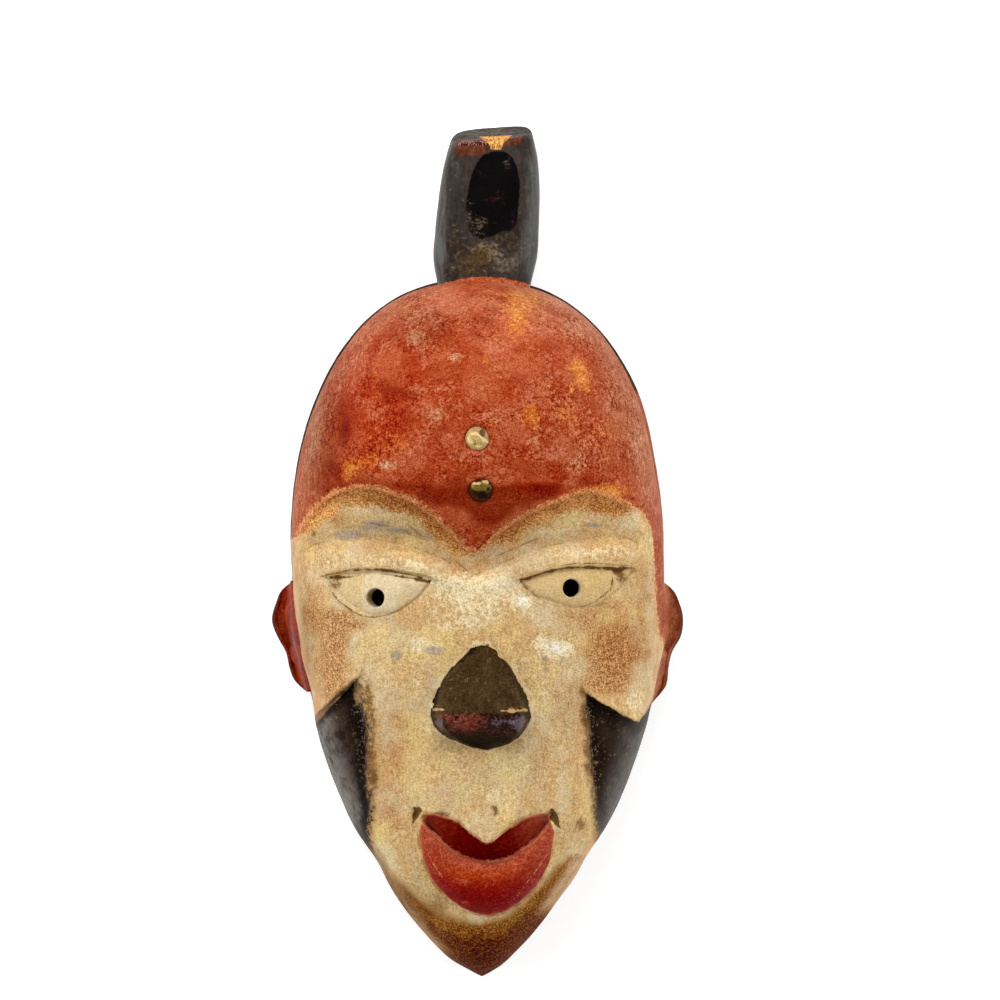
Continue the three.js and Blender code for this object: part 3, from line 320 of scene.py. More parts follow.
def panel_shape(u, v, side, p):
    """Millimetres inside the cut-back jaw side, with how far out and how far down."""
    x = side * u
    t = np.clip((p["corner"][1] - v) / (p["corner"][1] - PANEL_END), 0, 1)
    edge = np.interp(t, [0, 0.3, 0.7, 1], np.abs(p["edge"]))
    ledge = p["corner"][1] - p["slope"] * (x - abs(p["corner"][0]))
    if side > 0:
        ledge = np.maximum(ledge, -71.6) + 1.7 * np.maximum(0, x - 67.5)
    return x - edge, (ledge - v) / math.hypot(1, p["slope"]), edge, t


def panel_relief(u, v, side, p):
    a, b, edge, t = panel_shape(u, v, side, p)
    w = half_width(v)
    x = side * u
    inside = smooth(-0.3, 1.3, a) * smooth(-0.3, 1.5, b)
    out = np.clip(a / np.maximum(2, w - edge), 0, 1)
    h = -PANEL_DEPTH * (1 - 0.85 * out**1.5) * (1 - smooth(0.45, 1, t)) * inside
    flare = 1.5 * np.exp(np.minimum(0, b) / 4.0) * smooth(edge - 4, edge + 3, x) * (1 - smooth(w - 9, w, x))
    return h + flare * (b < 0.4)


def hand(u, v):
    """The knife isn't a machine: features wander a little."""
    p = flat_points(u, v)
    du = 0.55 * noise(p, 11, 3) + 0.28 * noise(p, 4.2, 4) + 0.12 * noise(p, 1.7, 5)
    dv = 0.55 * noise(p, 11, 6) + 0.28 * noise(p, 4.2, 7) + 0.12 * noise(p, 1.7, 8)
    return u + du, v + dv


def front(u, v):
    brow = brow_distance(u, v)
    crease = crease_line(u)
    F, G = forehead(u, v), face_plane(u, v)
    side = np.abs(u - drift(v)) / np.maximum(1, half_width(v))
    fade = 1 - smooth(0.86, 1.0, side)
    band = BROW_BAND * (0.55 + 0.45 * smooth(2, 30, np.abs(u - BROW_NOTCH_U)))
    line = np.interp(u, BROW_RUN[:, 0], BROW_RUN[:, 1])
    a = v - crease
    foot = np.maximum(2, line - band - crease)
    D = np.where(a > 0, -CREASE_DEPTH + (CREASE_DEPTH + 1.2) * np.clip(a / foot, 0, 1), -CREASE_DEPTH * np.exp(np.minimum(0, a) / 2.6) + 1.2 * bell(-a, 6, 4.5))
    G = G + D * fade * (v > crease - 30)
    eyes = (v < 8) & (v > -45)
    G = G + np.where(eyes, eye_relief(u, v, EYE_LEFT) + eye_relief(u, v, EYE_RIGHT), 0) * fade
    G = G + nose_relief(u, v) + mouth_relief(u, v)
    G = G + panel_relief(u, v, -1, PANEL_LEFT) + panel_relief(u, v, 1, PANEL_RIGHT)
    t = smooth(-0.6, band, brow)
    t = 0.25 * smooth(-0.8, 2.0, brow) * smooth(0, 1, brow) * 0 + t
    # a soft roll over the brow edge
    roll = -1.1 * np.exp(-((np.minimum(brow, 0) / 3.0) ** 2)) * (brow < 0) * smooth(-24, 2, v)
    return F + roll * fade + (G - F) * t


def hollow(u, v):
    w = np.maximum(1e-6, half_width(v, HOLLOW_HALF_WIDTH, HOLLOW_RISE, HOLLOW_DROP))
    q = np.clip(np.abs(u - drift(v)) / w, 0, 1)
    top = HOLLOW_DEPTH_FACE + (HOLLOW_DEPTH_BROW - HOLLOW_DEPTH_FACE) * smooth(-8, 34, v)
    t = np.where(v > 20, (v - 20) / (HOLLOW_RISE - 20), np.where(v < -90, (-90 - v) / (HOLLOW_DROP - 90), 0))
    top = top * np.clip(1 - np.clip(t, 0, 1) ** 2.3, 0, None) ** (1 / 2.3)
    return top * np.clip(1 - q**2.9, 0, None) ** (1 / 2.9)


# ---------------------------------------------------------------- meshes as arrays
def draw_in(p):
    p = np.asarray(p, float)
    k = 1 - (p[..., 2:3] - DRAW_FROM[2]) * DRAW_IN
    return np.concatenate([DRAW_FROM[:2] + (p[..., :2] - DRAW_FROM[:2]) * k, p[..., 2:3]], axis=-1)


def draw_out(p):
    k = 1 - (p[..., 2:3] - DRAW_FROM[2]) * DRAW_IN
    return np.concatenate([DRAW_FROM[:2] + (p[..., :2] - DRAW_FROM[:2]) / k, p[..., 2:3]], axis=-1)


def jaw_step(u, v):
    """The outline isn't quite even: how far each side stands off the drawn one, at every height."""
    left = 1.4 * bell(v, -131.5, 6) + 1.5 * bell(v, -125, 7) + bell(v, -139, 9) + 1.1 * bell(v, 78, 30) + 1.3 * bell(v, -61, 10) + 0.6 * bell(v, -10, 8)
    right = -1.0 * bell(v, 38, 20) - 1.3 * bell(v, -128, 7) - 0.9 * bell(v, -145, 9)
    return np.where(u > 0, right, left) * smooth(0, 18, np.abs(u))


def side_shift(u, v):
    return np.where(u > 0, 2.4 * bell(v, -35, 13), 1.6 * bell(v, -38, 20)) + jaw_step(u, v)


def blunted(v):
    return v + CHIN_BLUNT * smooth(-170, -CHIN_DROP, v)


def upper(v):
    return smooth(-15, 45, v)


def lathed(first, rings, last, tags, flip=False):
    """A closed skin from rings of equal length and a point at each end. tags gives each ring gap's material."""
    rings = np.asarray(rings, float)
    r, n, _ = rings.shape
    pos = np.vstack([np.reshape(first, (1, 3)), rings.reshape(-1, 3), np.reshape(last, (1, 3))])
    j = np.arange(n)
    k = (j + 1) % n
    tri, tag = [], []
    tri.append(np.stack([np.zeros(n, int), 1 + j, 1 + k], axis=1)); tag.append(np.full(n, tags[0]))
    i = np.arange(r - 1)[:, None]
    a, b, c, d = 1 + i * n + j, 1 + (i + 1) * n + j, 1 + (i + 1) * n + k, 1 + i * n + k
    tri.append(np.stack([a, b, c], axis=-1).reshape(-1, 3)); tri.append(np.stack([a, c, d], axis=-1).reshape(-1, 3))
    rows = np.repeat(np.asarray(tags[1:-1]), n)
    tag += [rows, rows]
    e = len(pos) - 1
    tri.append(np.stack([np.full(n, e), 1 + (r - 1) * n + k, 1 + (r - 1) * n + j], axis=1)); tag.append(np.full(n, tags[-1]))
    tri = np.vstack(tri)
    if flip:
        tri = tri[:, ::-1]
    return pos, tri, np.concatenate(tag)


def mesh_of(name, pos, tri, tag=None, mats=(), smooth_faces=True):
    me = bpy.data.meshes.new(name)
    me.vertices.add(len(pos))
    me.vertices.foreach_set("co", ((np.asarray(pos) + HOME) / 1000).astype(np.float32).ravel())
    me.loops.add(len(tri) * 3)
    me.loops.foreach_set("vertex_index", np.asarray(tri, np.int32).ravel())
    me.polygons.add(len(tri))
    me.polygons.foreach_set("loop_start", np.arange(len(tri), dtype=np.int32) * 3)
    for m in mats:
        me.materials.append(m)
    if tag is not None:
        me.polygons.foreach_set("material_index", np.asarray(tag, np.int32))
    me.polygons.foreach_set("use_smooth", np.full(len(tri), smooth_faces))
    me.update(calc_edges=True)
    ob = bpy.data.objects.new(name, me)
    bpy.context.scene.collection.objects.link(ob)
    return ob


def normals_of(pos, tri):
    f = np.cross(pos[tri[:, 1]] - pos[tri[:, 0]], pos[tri[:, 2]] - pos[tri[:, 0]])
    n = np.zeros_like(pos)
    for k in range(3):
        for c in range(3):
            n[:, c] += np.bincount(tri[:, k], weights=f[:, c], minlength=len(pos))
    return n / np.maximum(1e-12, np.linalg.norm(n, axis=1))[:, None]


PAINT, BAND, RIM, INSIDE, EAR, POST, CUT = range(7)


def head():
    rim = outline(HALF_WIDTH, DOME_RISE, CHIN_DROP, AROUND)
    inner = outline(HOLLOW_HALF_WIDTH, HOLLOW_RISE, HOLLOW_DROP, AROUND)
    reach = np.hypot(rim[:, 0], rim[:, 1])
    cv = -20.0
    rings, tags = [], [PAINT]
    s = np.sin(np.arange(1, FRONT_RINGS + 1) / FRONT_RINGS * math.pi / 2) ** 0.92
    U = s[:, None] * rim[:, 0]
    V = cv + s[:, None] * (rim[:, 1] - cv)
    hu, hv = hand((U + drift(V)).ravel(), V.ravel())
    near = smooth(0.9, 1.0, np.repeat(s, AROUND))
    hu, hv = hu + ((U + drift(V)).ravel() - hu) * near, hv + (V.ravel() - hv) * near
    Z = front(hu, hv).reshape(U.shape)
    Z[-1] = side_height(V[-1])
    k = 1 - BAND_PROUD * upper(V) * s[:, None] ** 2 / reach
    shift = side_shift(rim[:, 0], V) * smooth(0.78, 1, s)[:, None]
    grid = np.stack([U * k + drift(V) + shift, blunted(V * k), Z], axis=-1)
    rings += list(grid)
    tags += [PAINT] * (FRONT_RINGS - 1)

    def wall(z, inset, face, tag):
        i = inset(rim[:, 1]) if callable(inset) else inset
        k = 1 - (i + (BAND_PROUD * upper(rim[:, 1]) if face else 0)) / reach
        v = rim[:, 1] * k
        u = rim[:, 0] * k + drift(v) + (side_shift(rim[:, 0], v) if np.max(z) > BAND_HEIGHT - 4 else jaw_step(rim[:, 0], v))
        rings.append(np.stack([u, blunted(v), z + np.zeros(AROUND)], axis=-1))
        tags.append(tag)
    g = lambda v: BAND_GROOVE * upper(v)
    for t in np.linspace(0.06, 1, 16):
        wall(Z[-1] + (26 - Z[-1]) * t, 0.3 * t, True, PAINT)
    for z, i in ((25.2, 0.35), (24.6, 0.42), (24.1, 0.5)):
        wall(z, i, True, PAINT)
    wall(23.6, lambda v: 0.5 + g(v) * 0.6, True, PAINT)
    wall(23.2, lambda v: 0.5 + g(v), True, BAND)
    wall(22.9, lambda v: 0.6 + g(v), True, BAND)
    wall(22.5, lambda v: 0.6 + g(v) * 0.6, True, BAND)
    wall(22.1, 0.45, False, BAND)
    wall(21.6, 0.2, False, BAND)
    for z, i in ((21.0, 0.08), (20.0, 0.05), (18.5, 0.1), (17, 0.2), (15.5, 0.32), (14, 0.5), (12.5, 0.7), (11, 0.9), (9.5, 1.12), (8, 1.38), (6.6, 1.65), (5.3, 1.95), (4.1, 2.25), (3.0, 2.6), (2.1, 2.95), (1.3, 3.3), (0.7, 3.6), (0.3, 3.85)):
        wall(z, i, False, BAND)
    wall(0, RIM_TUCK + 0.1, False, BAND)
    wall(0, RIM_TUCK + 1.5, False, RIM)

    def inset(o, d):
        k = 1 - d / np.hypot(o[:, 0], o[:, 1])
        return o[:, 0] * k + drift(o[:, 1] * k), o[:, 1] * k
    for d, z, tag in ((-2.6, 0, RIM), (-1.2, 0, RIM), (-0.75, 0.25, RIM), (-0.4, 0.7, INSIDE), (-0.2, 1.3, INSIDE)):
        u, v = inset(inner, d)
        rings.append(np.stack([u, v, np.full(AROUND, float(z))], axis=-1))
        tags.append(tag)
    for i in range(HOLLOW_RINGS - 1, 0, -1):
        r = math.sin(i / HOLLOW_RINGS * math.pi / 2) ** 0.8
        u, v = r * inner[:, 0], -15 + r * (inner[:, 1] + 15)
        rings.append(np.stack([u + drift(v), v, np.maximum(2.0 + 2 * r, hollow(u + drift(v), v))], axis=-1))
        tags.append(INSIDE)
    tags.append(INSIDE)
    pos, tri, tag = lathed([0, cv, front(np.zeros(1), np.array([cv]))[0]], rings, [0, -15, float(hollow(np.zeros(1), np.array([-15.0]))[0])], tags, flip=True)
    return pos, tri, tag


def adze(p, size, seed):
    """Shallow scoops side by side, as a curved blade leaves them: 0 at a scoop's middle, 1 on the ridges."""
    q = p / np.array(size)
    i = np.floor(q).astype(np.int64)
    best = np.full(len(p), 9.0)
    for dx in (-1, 0, 1):
        for dy in (-1, 0, 1):
            for dz in (-1, 0, 1):
                c = i + (dx, dy, dz)
                j = np.stack([lattice(c[:, 0], c[:, 1], c[:, 2], seed + k) for k in range(3)], axis=1) * 0.42 + 0.5
                best = np.minimum(best, ((c + j - q) ** 2).sum(axis=1))
    return np.clip(best, 0, 1.2)


def worked(pos, tri, tag):
    """Fine carving over the whole skin, along its normals: a slow wander, small facets, and adze scoops inside."""
    n = normals_of(pos, tri)
    kind = np.zeros(len(pos), int)
    for k in range(3):
        kind[tri[:, k]] = np.maximum(kind[tri[:, k]], tag)
    flat = pos[:, 2] < 0.02
    out = np.zeros(len(pos))
    sel = (kind == PAINT)
    p = pos[sel]
    slow = 0.30 * noise(p, 34, 21) + 0.14 * noise(p, 15, 22) + 0.07 * noise(p, 6, 23) + 0.035 * noise(p, 2.6, 24)
    dome = smooth(-5, 20, p[:, 1])
    facets = -0.12 * (0.5 - adze(p, (9, 14, 12), 41)) * (1 - 0.75 * dome)
    out[sel] = slow + facets
    sel = (kind == BAND) & ~flat
    p = pos[sel]
    out[sel] = 0.30 * noise(p, 26, 31) + 0.12 * noise(p, 8, 32) + 0.05 * noise(p, 3, 33) * 1.0
    sel = (kind >= INSIDE) & ~flat
    p = pos[sel]
    scoop = adze(p, (15, 24, 15), 51)
    out[sel] = (0.75 * (scoop - 0.35) + 0.5 * noise(p, 40, 52) + 0.1 * noise(p, 3, 53)) * smooth(1, 10, p[:, 2])
    # paint face: no thickening at the flat rim
    return pos + n * (out * ~flat)[:, None]


def ear(side, reach):
    count, around = 90, 60
    top, low = reach[0][0], reach[-1][0]
    rings = []
    for i in range(count + 1):
        t = i / count
        v = top + (low - top) * (0.5 - 0.5 * math.cos(math.pi * t))
        s = (v - top) / (low - top)
        w = float(half_width(v)) + side * float(drift(v))
        e = max(0.2, float(station(reach, v)) - w)
        opened = math.sin(math.pi * min(0.985, max(0.015, s))) ** 0.62
        zf = EAR_EDGE + 2 + (EAR_FRONT - EAR_EDGE - 2) * opened * (1 - 0.25 * float(smooth(0.5, 1, s)))
        zb = EAR_EDGE - 2 - (EAR_EDGE - 2 - EAR_BACK) * opened
        dish = 3.2 * opened
        ring = np.array([
            [w - 9, zf], [w - 2.2, zf], [w - 0.4, zf - 2.6 * opened], [w + e * 0.3, zf - (zf - EAR_EDGE) * 0.52 - dish],
            [w + e * 0.62, EAR_EDGE + 1.2 - dish * 0.35], [w + e - EAR_RIM * 0.62 * opened - 0.2, EAR_EDGE + 0.2],
            [w + e - EAR_RIM * 0.42 * opened, EAR_EDGE + 2.2 * opened], [w + e - 0.4 * opened, EAR_EDGE + 1.4 * opened],
            [w + e, EAR_EDGE - 0.2], [w + e - 0.7 * opened, EAR_EDGE - 1.8 * opened], [w + e * 0.55, zb + (EAR_EDGE - 2 - zb) * 0.42],
            [w - 0.6, zb + 1.0], [w - 3, zb], [w - 9, zb]])
        q = spline(ring, 10)
        d = np.concatenate([[0], np.cumsum(np.hypot(*np.diff(q, axis=0).T))])
        at = np.linspace(0, d[-1], around)
        rings.append(np.stack([side * np.interp(at, d, q[:, 0]), np.full(around, v), np.interp(at, d, q[:, 1])], axis=-1))
    rings = np.array(rings)
    mid = lambda r: (r[0] + r[-1]) / 2
    pos, tri, tag = lathed(mid(rings[0]), rings, mid(rings[-1]), [EAR] * (count + 2), flip=side < 0)
    n = normals_of(pos, tri)
    out = np.abs(pos[:, 0]) > half_width(pos[:, 1]) - 3
    return pos + n * ((0.22 * noise(pos, 9, 61) + 0.1 * noise(pos, 3.5, 62)) * out)[:, None], tri, tag


def crest():
    around, rows = 150, 170
    rings = []
    a = np.arange(around) / around * 2 * math.pi
    k = 2 / 3.6
    cx = np.sign(np.cos(a)) * np.abs(np.cos(a)) ** k
    cz = np.sign(np.sin(a)) * np.abs(np.sin(a)) ** k
    for i in range(rows + 1):
        t = i / rows
        s = t / 0.9 * 0.965 if t < 0.9 else 0.965 + 0.035 * math.sin((t - 0.9) / 0.1 * math.pi / 2)
        v0 = CREST_ROOT + s * (CREST_TOP - CREST_ROOT)
        half = float(station(CREST_HALF, v0))
        rnd = max(0, (s - 0.965) / 0.035)
        tuck = 1.7 * (1 - math.sqrt(max(0, 1 - rnd * rnd)))
        lean = CREST_LEAN[0] + (CREST_LEAN[1] - CREST_LEAN[0]) * s
        high, low = CREST_HIGH - 3.0 * s * s, CREST_LOW + 3.5 * s
        u = lean + (half - tuck) * cx
        z = (high + low) / 2 + ((high - low) / 2 - tuck) * cz
        cut = CREST_TOP + CREST_TILT * (u - lean) - (CREST_SLANT - 0.0016 * (u - lean)) * (z - low)
        v = CREST_ROOT + s * (cut - CREST_ROOT)
        q = ((u - CREST_SCOOP["u"]) / CREST_SCOOP["ru"]) ** 2 + ((v - CREST_SCOOP["v"]) / CREST_SCOOP["rv"]) ** 2
        z = z - CREST_SCOOP["depth"] * smooth(1.2, 0.5, q) * (cz > 0.3)
        rings.append(np.stack([u, v, z], axis=-1))
    rings = np.array(rings)
    pos, tri, tag = lathed(rings[0].mean(0), rings, rings[-1].mean(0), [POST] * (rows + 2))
    n = normals_of(pos, tri)
    amp = 0.30 * noise(pos, 17, 71) + 0.12 * noise(pos, 6, 72) + 0.05 * noise(pos, 2.5, 73)
    # the chip broken out of the top edge
    chip = np.exp(-(((pos[:, 0] - 7.2) / 4.2) ** 2)) * smooth(27, 34, pos[:, 2]) * smooth(163, 168.5, pos[:, 1])
    return pos + n * (amp - 1.5 * chip)[:, None], tri, tag


def turned(profile, sides, at, direction, tag=CUT):
    """A solid of revolution. The profile gives (radius, height) from the far end back, starting and ending on the axis."""
    d = np.asarray(direction, float)
    d = d / np.linalg.norm(d)
    x = np.cross([0, 1, 0], d); x = x / np.linalg.norm(x)
    y = np.cross(d, x)
    a = np.arange(sides) / sides * 2 * math.pi
    prof = profile[::-1]
    ring = lambda r, h: np.asarray(at) + h * d + r * (np.cos(a)[:, None] * x + np.sin(a)[:, None] * y)
    rings = [ring(r, h) for r, h in prof[1:-1]]
    return lathed(np.asarray(at) + prof[0][1] * d, rings, np.asarray(at) + prof[-1][1] * d, [tag] * (len(rings) + 1), flip=True)


def surface_at(u, v):
    f = lambda a, b: draw_in(np.array([a, b, front(np.array([a]), np.array([b]))[0]]))
    p, a, b = f(u, v), f(u + 2, v), f(u, v + 2)
    n = np.cross(a - p, b - p)
    return p, n / np.linalg.norm(n)


# ---------------------------------------------------------------- build the carving
materials = [bpy.data.materials.new(n) for n in ("paint", "back_band", "bare_rim", "bare_inside", "ear_paint", "crest_paint", "hole_wood")]

pos, tri, tag = head()
pos = worked(pos, tri, tag)
base = mesh_of("mask", draw_in(pos), tri, tag, materials)
parts = []
for name, made in (("ear_left", ear(-1, EAR_LEFT)), ("ear_right", ear(1, EAR_RIGHT)), ("crest", crest())):
    parts.append(("UNION", mesh_of(name, draw_in(made[0]), made[1], made[2], materials)))
for u, v, side in PUPILS:
    p, _ = surface_at(u, v)
    d = np.array([side * math.sin(PUPIL_LEAN), 0, -math.cos(PUPIL_LEAN)])
    prof = [(0, 46), (PUPIL_RADIUS * 1.05, 46), (PUPIL_RADIUS * 1.02, 20)] + [(PUPIL_RADIUS * k, h) for k, h in ((1.0, 14), (1.0, 12), (1.02, 10), (1.05, 9.0), (1.10, 8.2), (1.20, 7.6), (1.45, 6.9))] + [(PUPIL_RADIUS * 1.5, 0), (0, 0)]
    made = turned(prof, 40, p - d * 8, d)
    q = made[0]
    q = q + 0.14 * np.stack([noise(q, 3.5, 81 + k) for k in range(3)], axis=1)
    parts.append(("DIFFERENCE", mesh_of("sight_hole", q, made[1], made[2], materials)))
seats = []
for u, v in (TACK_UPPER, TACK_LOWER):
    p, n = surface_at(u, v)
    seat = p - 0.55 * n
    seats.append((seat, n))
    prof = [(0, 6), (TACK_RADIUS + 0.3, 6), (TACK_RADIUS + 0.3, 0), (TACK_SHANK + 0.3, 0), (TACK_SHANK + 0.3, -TACK_LENGTH - 0.6), (0, -TACK_LENGTH - 0.6)]
    made = turned(prof, 48, seat, n, PAINT)
    parts.append(("DIFFERENCE", mesh_of("tack_seat", made[0], made[1], made[2], materials)))
for op, ob in parts:
    m = base.modifiers.new(op.lower(), "BOOLEAN")
    m.operation, m.solver, m.object = op, "MANIFOLD", ob
tris_in = sum(len(o.data.polygons) for o in [base] + [o for _, o in parts])
m = base.modifiers.new("fewer", "DECIMATE")
m.ratio = min(1.0, MASK_FACES / tris_in)
depsgraph = bpy.context.evaluated_depsgraph_get()
made = bpy.data.meshes.new_from_object(base.evaluated_get(depsgraph), preserve_all_data_layers=True, depsgraph=depsgraph)
base.modifiers.clear()
base.data = made
for _, ob in parts:
    bpy.data.objects.remove(ob, do_unlink=True)
mask = base
mask.name = "carved_mask"
kinds = np.empty(len(made.polygons), np.int32)
made.polygons.foreach_get("material_index", kinds)
print("mask faces", len(made.polygons), "verts", len(made.vertices), "by kind", np.bincount(kinds))
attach(mask, "root")
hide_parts("mask_body")

# ---------------------------------------------------------------- where each paint lies
UNIT = 0.4144  # one unit of the paint drawing, in millimetres; (477, 548) is the carving's own centre


def spots(x, y, rows):
    """Soft blots, each (x, y, half width, half height, strength)."""
    out = np.zeros_like(x)
    for cx, cy, rx, ry, k in rows:
        out += k * np.exp(-((((x - cx) / rx) ** 2 + ((y - cy) / ry) ** 2) ** 1.3))
    return out


def inside_loop(loop, u, v):
    """Distance inside a closed line."""
    p = np.array(loop, float)
    p = np.vstack([p, p[:1]])
    hit = np.zeros(u.shape, bool)
    for (x0, y0), (x1, y1) in zip(p[:-1], p[1:]):
        cross = (y0 > v) != (y1 > v)
        hit ^= cross & (u < (x1 - x0) * (v - y0) / ((y1 - y0) + 1e-12) + x0)
    d = away(p, u, v)
    return np.where(hit, d, -d)


def patch(x, y, loop):
    """Millimetres inside a closed line drawn in paint units, worked out only near it."""
    p = np.array(loop, float)
    box = (x > p[:, 0].min() - 14) & (x < p[:, 0].max() + 14) & (y > p[:, 1].min() - 14) & (y < p[:, 1].max() + 14)
    out = np.full(x.shape, -6.0)
    out[box] = np.maximum(-6.0, inside_loop(loop, x[box], y[box]) * UNIT)
    return out


def pen(x, y, rows):
    """Fine drawn lines: the signed distance across the nearest one, and its half width there (both in
    millimetres; the half width is negative where there is no line). Each row is (points, half widths)."""
    far, wide = np.full(x.shape, 9.0), np.full(x.shape, -1.0)
    for points, widths in rows:
        p, w = np.array(points, float), np.array(widths, float)
        box = (x > p[:, 0].min() - 5) & (x < p[:, 0].max() + 5) & (y > p[:, 1].min() - 5) & (y < p[:, 1].max() + 5)
        bx, by = x[box], y[box]
        best, at, side = np.full(bx.shape, 1e9), np.full(bx.shape, -1.0), np.ones(bx.shape)
        for i in range(len(p) - 1):
            dx, dy = p[i + 1] - p[i]
            s = ((bx - p[i, 0]) * dx + (by - p[i, 1]) * dy) / (dx * dx + dy * dy)
            t = np.clip(s, 0, 1)
            d2 = (bx - p[i, 0] - t * dx) ** 2 + (by - p[i, 1] - t * dy) ** 2
            new = d2 < best
            best = np.where(new, d2, best)
            over = ((i == 0) & (s < 0)) | ((i == len(p) - 2) & (s > 1))
            at = np.where(new, np.where(over, -1.0, w[i] + (w[i + 1] - w[i]) * t), at)
            side = np.where(new, np.sign(dx * (by - p[i, 1]) - dy * (bx - p[i, 0])), side)
        best = np.sqrt(best) * UNIT
        near = best < np.minimum(1.9, np.abs(far[box]))
        f, k = far[box], wide[box]
        f[near], k[near] = (side * best)[near], at[near]
        far[box], wide[box] = f, k
    return far, wide


co = np.empty(len(made.vertices) * 3, np.float32)
made.vertices.foreach_get("co", co)
flatp = draw_out(co.reshape(-1, 3).astype(float) * 1000 - HOME)
PX, PY, PZ = flatp[:, 0], flatp[:, 1], flatp[:, 2]
HU, HV = hand(PX, PY)
X, Y = 477 + PX / UNIT, 548 - PY / UNIT
N5 = [rough(flatp, 5.5, 3, 200 + 40 * k, 0.62) for k in range(5)]
N12 = [rough(flatp, 13, 3, 500 + 40 * k, 0.58) for k in range(4)]
n2 = [rough(flatp, 2.4, 2, 700 + 40 * k, 0.6) for k in range(3)]
masks = {"tone": N12[0], "tone_b": N12[1], "tone_c": N12[3], "lump": N5[0], "lump_b": N5[1], "lump_c": N5[4]}

# borders, in millimetres
edge_of_brow = brow_distance(HU, HV)
masks["brow"] = np.clip(edge_of_brow + 9.0 * smooth(314, 303, X) * smooth(537, 547, Y), -40, 40)
# the brown band under the brow, partly dirt and partly painted shade under the overhang, thins out to nothing at both
# ends, and is narrow at the notch
masks["dirt_and_shade"] = 0.5 * N5[3] + spots(X, Y, [(402, 504, 40, 13, 0.9), (436, 524, 16, 14, 0.5), (590, 509, 46, 9, 0.35), (510, 522, 20, 12, 0.45)])
# where the brown band of dirt and painted shade under the brow is missing
masks["no_brow_band"] = 12.0 * smooth(345, 322, X) * smooth(528, 540, Y) + 12.0 * smooth(616, 646, X) + 6.0 * np.exp(-(((X - 480) / 22) ** 2) ** 1.5) + spots(X, Y, [(330, 512, 16, 10, -2.0), (585, 512, 30, 8, -1.0), (400, 505, 40, 8, -1.2)])
open_eye = np.full(PX.shape, -9.0)
for e in (EYE_LEFT, EYE_RIGHT):
    p, q, upper_, lower_ = eye_frame(HU, HV, e)
    open_eye = np.maximum(open_eye, np.where(np.abs(p) < 1, np.minimum(upper_ - q, q - lower_), -9.0))
masks["eye"] = open_eye.clip(-9, 9)
masks["nose"] = np.clip(nose_inside(HU, HV), -40, 40) + 0.4 * N5[2] + 0.5 * n2[0] + 2.6 * n2[2] * spots(X, Y, [(428, 704, 7, 13, 1.0), (478, 654, 26, 12, 0.5), (524, 713, 10, 5, 0.6)]) - spots(X, Y, [(481, 753, 9, 6, 0.9)])
masks["nred"] = 0.35 * N5[0] + 0.3 * n2[0] + spots(X, Y, [(466, 721, 19, 10, 1.1), (442, 715, 8, 4, 0.5)])
masks["nblue"] = 0.35 * N5[2] + 0.3 * n2[1] + spots(X, Y, [(438, 726, 8, 10, 1.1), (521, 724, 10, 9, 1.2), (501, 722, 12, 8, 0.7)])
masks["nose_low"] = np.clip(NOSE_RIDGE - 0.6 - HV, -40, 40)
d = HU - MOUTH_U
box = (np.abs(d) < 45) & (HV > -175) & (HV < -90)
lips_loop = [(q + MOUTH_U, float(lip_top(np.array(q)))) for q in np.linspace(-25.4, 25.4, 44)]
lips_loop += [(q + MOUTH_U, float(lip_base(np.array(q)))) for q in np.linspace(28.0, -28.0, 60)]
m = np.full(PX.shape, -40.0)
m[box] = inside_loop(lips_loop, HU[box], HV[box])
masks["lips"] = m
masks["lip_low"] = np.where(box, (lip_edge(d) - HV) / np.sqrt(1 + (2 * LOWER_LIP_SAG * d) ** 2), -40)
masks["lip_out"] = np.where(box, np.abs(d) / 26 * (1 + 0.16 * np.sign(d)), 0)
black = np.full(PX.shape, -40.0)
ragged = np.zeros(PX.shape)
for side, p in ((-1, PANEL_LEFT), (1, PANEL_RIGHT)):
    a, b, _, t = panel_shape(HU, HV, side, p)
    s = np.minimum(np.minimum(a, b - (0.8 if side < 0 else 0.0)), (HV + 124.5) * 0.9)
    black = np.maximum(black, np.where(side * PX > 10, s, -40))
    ragged = np.where(side * PX > 10, smooth(-1.5, 2.0, b - a), ragged)
    if side < 0:
        masks["ledge"] = np.where((PX < -50) & (a > 0), b + 3.4 * smooth(318, 354, X), 20).clip(-20, 20)
chips = np.maximum.reduce([patch(X, Y, q) for q in (
    [(353, 688), (357, 683), (361, 689), (362, 700), (358, 706), (355, 700)],)])
masks["ragged"] = ragged
masks["panel"] = np.minimum(black + 0.5 * N5[3] + 0.55 * n2[1] + 1.5 * ragged * n2[2], -chips + 2.2 * n2[0])

# the brown of the chin, partly brown paint and partly painted shade where it turns under: how far below its upper line
chin_line = spline([(-45, -121), (-39.0, -129.5), (-31.5, -138.5), (-23.5, -146.0), (-14, -152.2), (-6, -154.6), (3, -154.8), (11, -152.4), (19, -146.6), (26.0, -139.4), (32.0, -133.0), (37.5, -127)])
low = np.interp(PX, chin_line[:, 0], chin_line[:, 1])
cd = away(chin_line, PX, PY)
masks["chin"] = np.where(PY < low, cd, -cd).clip(-40, 40) + 1.3 * N5[1]
w = half_width(PY)
masks["edge"] = np.clip(w - np.abs(PX - drift(PY)) + np.sign(PX) * jaw_step(PX, PY), -20, 60)  # millimetres in from the outline
masks["margin"] = smooth(8.0, 3.6, masks["edge"] + 1.8 * N5[0] + 0.4 * (PX > 0) + 2.4 * (PX < 0) * smooth(-146, -160, PY)) * np.where(PX > 0, smooth(-156, -146, PY), smooth(-171, -164, PY))
masks["high"] = PZ.clip(-5, 120)
masks["crease"] = np.where(np.abs(PX) < 74, HV - crease_line(HU) - 0.4, 40).clip(-40, 40)

